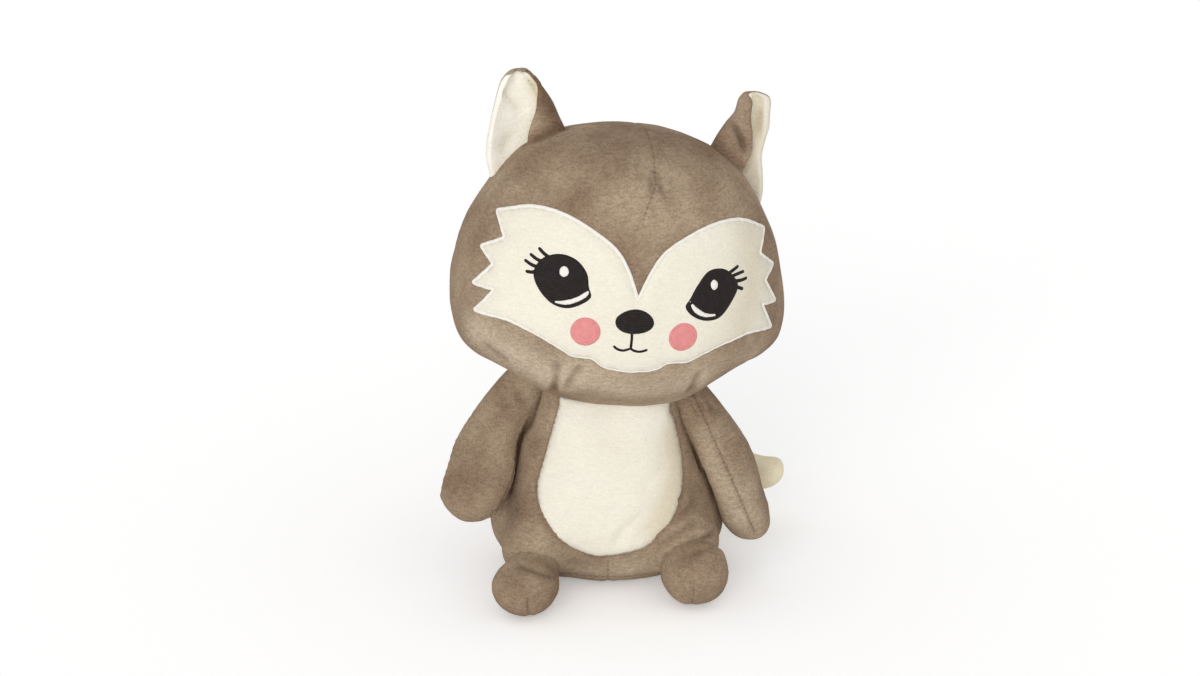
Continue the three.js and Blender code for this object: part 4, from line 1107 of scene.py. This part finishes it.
# Picture points round the belly panel, from the chin down its right edge and up again
BELLY = [(670, 412), (674, 419), (680, 444), (683, 474), (680, 500), (671, 521), (652, 543),
         (637, 551), (612, 556), (589, 555.5), (561, 541), (541, 512), (537, 486), (543, 462),
         (554, 423), (559, 405)]
BELLY_TOP = 109
# The panel's edge is a little ragged: how fine, and how much of its size
RAGGED_FINE, RAGGED_SHARE = 0.9, 0.006


def belly_outline():
    seen = seen_at(body_surface, BELLY, 4)[:, (0, 2)] / MM
    return np.vstack([(seen[0, 0], BELLY_TOP), seen, (seen[-1, 0], BELLY_TOP)])


belly_edge = resampled(belly_outline(), 1.0)
ragged = np.array([noise.noise(Vector((*(point * RAGGED_FINE), 3.0))) for point in belly_edge])
belly_edge = belly_edge * (1 + RAGGED_SHARE * ragged[:, None])
belly_line = laid(belly_edge, body_surface, Matrix.Identity(4))
# A sewn groove round the belly panel, with painted shade in it
crease(body, closed_line(belly_line), depth=0.7, width=2.0, lip=0.15, run_out=0.1, pucker=0.2,
       pitch=6, dark=0.5)
BELLY_FOLDS = [
    ([(614, 548), (626, 530), (648, 512)], 2.1, 2.8),
    ([(638, 496), (655, 478), (669, 460)], 1.0, 3.4),
    ([(628, 545), (642, 532), (658, 522)], 1.0, 2.6),
]
crease_at(body, body_surface, BELLY_FOLDS, dark=0.0)
body_surface = surface_of(body)
belly = sewn_patch("belly_plush", belly_edge, surface=body_surface, matrix=Matrix.Identity(4),
                   spacing=1.7, base=-0.1, rise=0.6, edge=1.6, thickness=1.0)
pile_ready(belly)

BODY_FOLDS = [
    ([(668, 522), (684, 512), (700, 497)], 1.2, 3.0),
    ([(655, 552), (668, 540), (686, 528), (702, 520)], 1.2, 2.6),
    ([(563, 560), (590, 568)], 0.6, 3.0),
    ([(716, 531), (696, 544), (678, 552), (662, 561)], 2.2, 1.9),
]
# Where the arms press into the body: creases, with full painted shade in the gaps
ARM_GAPS_SHADED = [
    ([(509, 496), (513, 475), (521, 435), (530, 421), (540, 391)], 1.6, 2.1),
    ([(680, 404), (686, 425), (694, 447), (703, 472)], 1.6, 2.1),
]
# Painted light along the base of the body, which faces down, and painted shade below the right arm and
# along the gaps beside both arms
BODY_LIGHT_AND_SHADE = [
    ([(545, 568), (600, 572), (650, 566)], 9, 0.33),
    ([(515, 500), (515, 535)], 12, -0.33),
    ([(509, 494), (513, 475), (521, 435), (530, 421), (538, 393)], 3, -0.6),
    ([(682, 408), (690, 430), (700, 462), (711, 492)], 3, -0.6),
]
# Painted shade down the belly's left side, painted light under the chin against the head's shadow, and a
# faint darkening down the middle
BELLY_LIGHT_AND_SHADE = [
    ([(674, 430), (676, 485), (660, 530)], 10, -0.55),
    ([(575, 412), (655, 418)], 7, 0.25),
    ([(610, 450), (612, 535)], 30, -0.04),
]
crease_at(body, body_surface, ARM_GAPS_SHADED, lip=0, run_out=4, dark=1.0)
paint_light_and_shade(body, body_surface, BODY_LIGHT_AND_SHADE)
paint_light_and_shade(belly, body_surface, BELLY_LIGHT_AND_SHADE)
# Deeper folds get more painted shade along them
for line, depth, width in BODY_FOLDS:
    crease(body, seen_at(body_surface, line), depth, width, dark=0.4 * depth)
rest_on_floor(body)
dress(body, TAUPE, None, *BODY_NODES)
dress(belly, CREAM, None, "belly_panel")
for piece in (body, belly):
    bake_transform(piece)


# Arms and legs

# Where the seams of arms and legs run out: the level of the toe, and how far short of the arm's tip
TOE_END = (19 * MM, -4 * MM)
SHORT_OF_TIP, TIP_FADE = 1.5 * MM, -6 * MM


def under_toe(points):
    return fade(points[:, 2], *TOE_END)


def short_of_tip(points):
    """All along the arm that is being made, up to its end."""
    return fade(reach_along(points, root, aim), tip - SHORT_OF_TIP, TIP_FADE)


# Folds of the arms and legs, with painted shade along them
LIMB_FOLDS = {
    "left_arm": [([(706, 398), (712, 408), (720, 417)], 1.2, 2.4),
                 ([(689, 400), (695, 411), (701, 424)], 1.1, 1.5),
                 ([(697, 397), (702, 406), (706, 416)], 0.9, 1.4)],
    "right_arm": [([(513, 384), (520, 398), (528, 408)], 1.4, 3.4),
                  ([(500, 398), (512, 412)], 0.9, 3.0)],
    "left_leg": [([(716, 545), (700, 551), (684, 557)], 1.2, 2.0)],
    "right_leg": [([(514, 562), (536, 571), (556, 577)], 1.4, 2.4),
                  ([(541, 588), (538, 601)], 1.0, 1.8)],
}
# Painted light along the lower left arm; painted shade on the top of the right arm under the head, on
# its outer side and on the left leg
LIMB_LIGHT_AND_SHADE = {
    "left_arm": [([(746, 495), (752, 525)], 12, 0.28), ([(706, 440), (719, 480), (735, 515)], 8, 0.3)],
    "right_arm": [([(500, 385), (505, 410)], 10, -0.45), ([(484, 435), (476, 465)], 10, -0.25)],
    "left_leg": [([(695, 560), (695, 590)], 12, -0.25)],
    "right_leg": [],
}
# Where the arms swell against the body, and the left thigh
LIMB_PADS = {
    "left_arm": [((51, -17, 68), (-4.2, -1, 0), 16), ((84, -20, 26), (2.3, 0, -0.6), 11),
                 ((60, -15, 102), (-2.0, 0, -0.5), 10)],
    "right_arm": [((-54, -27, 63), (3.5, -0.5, 0), 15)],
    "left_leg": [((50, -54, 33), (2.5, 0, 5), 18), ((60, -58, 33), (2.8, 0, 0.5), 10)],
    "right_leg": [],
}
# Moves in millimetres: an arm's top is drawn up under the head, its middle bows out and its end is
# drawn in, and a foot is moved as a whole
ARM_TUCK = {"left_arm": (-11, -1, 13), "right_arm": (9, -4, 12)}
ARM_BOW = {"left_arm": (3.5, 0, 0.5), "right_arm": (-3.5, 0, 0.5)}
ARM_SHORT = {"left_arm": 0, "right_arm": 3.5}
FOOT_MOVE = {"left_leg": (2.5, 8, 0), "right_leg": (-3, 0, 0)}
# Where each of these moves starts, along the arm or in depth, and over what width it grows
TUCK_FADE, SHORT_FADE, FOOT_FADE = (12, -24), (50, 22), (-48, -20)
BOW_MIDDLE, BOW_WIDTH = 24, 20
ARM_SEAM_TURN = {"left_arm": math.radians(-24), "right_arm": 0}
ARM_SEAM = {"depth": 1.2, "lip": 0.3, "pucker": 0.5, "dark": 0.4}
LEG_SEAM = {"depth": 0.4, "lip": 0.2, "pucker": 0.3, "dark": 0.1}

for limb, (root, aim, outward) in LIMBS.items():
    nodes = [f"{limb}_outer_panel", f"{limb}_inner_panel", f"{limb}_filling"]
    is_arm = limb.endswith("arm")
    piece = stuffed(limb, nodes, voxel=3.0, calm=10 if is_arm else 8, grow=0.6, cap=2.5)
    unevenness(piece, height=0.7, size=22, seed=5 + len(limb))
    unevenness(piece, height=0.25, size=8, seed=9)
    root = Vector(root) * MM
    aim = Vector(aim).normalized()
    broadside = aim.cross(Vector(outward).cross(aim).normalized())
    points = coords(piece)
    if is_arm:
        level = reach_along(points, root, aim) / MM
        points += np.outer(fade(level, *TUCK_FADE), ARM_TUCK[limb]) * MM
        points += np.outer(bell(level - BOW_MIDDLE, BOW_WIDTH), ARM_BOW[limb]) * MM
        points = swollen(points, LIMB_PADS[limb])
        points -= np.outer(fade(level, *SHORT_FADE), aim) * ARM_SHORT[limb] * MM
        tip = reach_along(points, root, aim).max()
        broadside.rotate(Matrix.Rotation(ARM_SEAM_TURN[limb], 3, aim))
    else:
        points += np.outer(fade(points[:, 1] / MM, *FOOT_FADE), FOOT_MOVE[limb]) * MM
        points = swollen(points, LIMB_PADS[limb])
    set_coords(piece, points)
    seam_on_plane(piece, root, broadside, short_of_tip if is_arm else under_toe, aim, pitch=4.5,
                  **(ARM_SEAM if is_arm else LEG_SEAM))
    surface = surface_of(piece)
    paint_light_and_shade(piece, surface, LIMB_LIGHT_AND_SHADE[limb])
    crease_at(piece, surface, LIMB_FOLDS[limb])
    if not is_arm:
        rest_on_floor(piece)
    dress(piece, TAUPE, limb, *nodes)


# Tail

def halved(obj, name, place, direction, keep_far):
    """A closed part of a form, on one side of a plane."""
    part = new_object(name, obj.data.copy())
    edit_whole(part, bpy.ops.mesh.bisect, plane_co=place, plane_no=direction, use_fill=True,
               clear_inner=keep_far, clear_outer=not keep_far)
    return part


TAIL_SEAM = Vector((69.7, 66.8, 28.5)) * MM
TAIL_ALONG = Vector((0.8, -0.58, 0.13))
TAIL_PADS = [((92, 52, 36), (3, 0, 0), 11), ((86, 54, 22), (-2.5, 0, 2.5), 9),
             ((91, 54, 45), (0, 0, -5.5), 14), ((100, 54, 38), (1.2, 0, 2.2), 9)]
tail = stuffed("tail", ["tail_sleeve", "tail_tip", "tail_filling"], voxel=3.0, calm=8, grow=0.5,
               cap=2.0)
unevenness(tail, height=0.6, size=18, seed=11)
set_coords(tail, swollen(coords(tail), TAIL_PADS))
seam_on_plane(tail, TAIL_SEAM, TAIL_ALONG, all_round, (0, 0, 1), depth=1.0, width=1.6)
for nodes, far, finish in ((["tail_sleeve", "tail_filling"], False, TAUPE),
                           (["tail_tip"], True, TAIL_SHADED_CREAM)):
    part = halved(tail, f"{nodes[0]}_plush", TAIL_SEAM, TAIL_ALONG, far)
    dress(part, finish, "tail", *nodes)
bpy.data.objects.remove(tail)


# Studio

PLAIN_WHITE = (1, 1, 1, 1)
SKY_STRENGTH = 0.66
SUN_TOWARDS = Vector((0.24, 0.95, -0.16))
SUN_STRENGTH = 1.8
SUN_ANGLE = math.radians(50)
SUN_COLOUR = (1, 0.99, 0.975)
FLOOR_FINISH = {"Base Color": (0.96, 0.96, 0.96, 1), "Roughness": 0.9, "Specular IOR Level": 0.1}
# The floor's own white that the camera adds to its lit colour, so that it meets the white background
FLOOR_LIFT = 0.27


# The world lights the toy softly, and shows plain white to the camera and in reflections
world = bpy.data.worlds.new("studio")
scene.world = world
world.use_nodes = True
tree = world.node_tree
sky = tree.nodes["Background"]
sky.inputs["Color"].default_value = PLAIN_WHITE
sky.inputs["Strength"].default_value = SKY_STRENGTH
plain = node(tree, "ShaderNodeBackground", Color=PLAIN_WHITE)
rays = node(tree, "ShaderNodeLightPath").outputs
seen = computed(tree, "MAXIMUM", rays["Is Camera Ray"], rays["Is Glossy Ray"])
seen = computed(tree, "MAXIMUM", seen, rays["Is Transmission Ray"])
shown = node(tree, "ShaderNodeMixShader", seen, sky.outputs[0], plain.outputs[0])
plug(shown.outputs[0], tree.nodes["World Output"].inputs["Surface"])

sun = bpy.data.lights.new("softbox", "SUN")
sun.energy, sun.angle, sun.color = SUN_STRENGTH, SUN_ANGLE, SUN_COLOUR
new_object("softbox", sun).rotation_euler = SUN_TOWARDS.to_track_quat("-Z", "Y").to_euler()

bpy.ops.object.select_all(action="DESELECT")
bpy.ops.mesh.primitive_plane_add(size=8)
floor = bpy.context.object
floor.name = "floor"
floor_material, tree, surface = shader("pale_floor", FLOOR_FINISH)
seen = node(tree, "ShaderNodeLightPath").outputs["Is Camera Ray"]
lift = node(tree, "ShaderNodeEmission", Strength=computed(tree, "MULTIPLY", seen, FLOOR_LIFT))
shown = node(tree, "ShaderNodeAddShader", surface.outputs[0], lift.outputs[0])
plug(shown.outputs[0], tree.nodes["Material Output"].inputs["Surface"])
floor.data.materials.append(floor_material)

scene.view_settings.view_transform = "Standard"
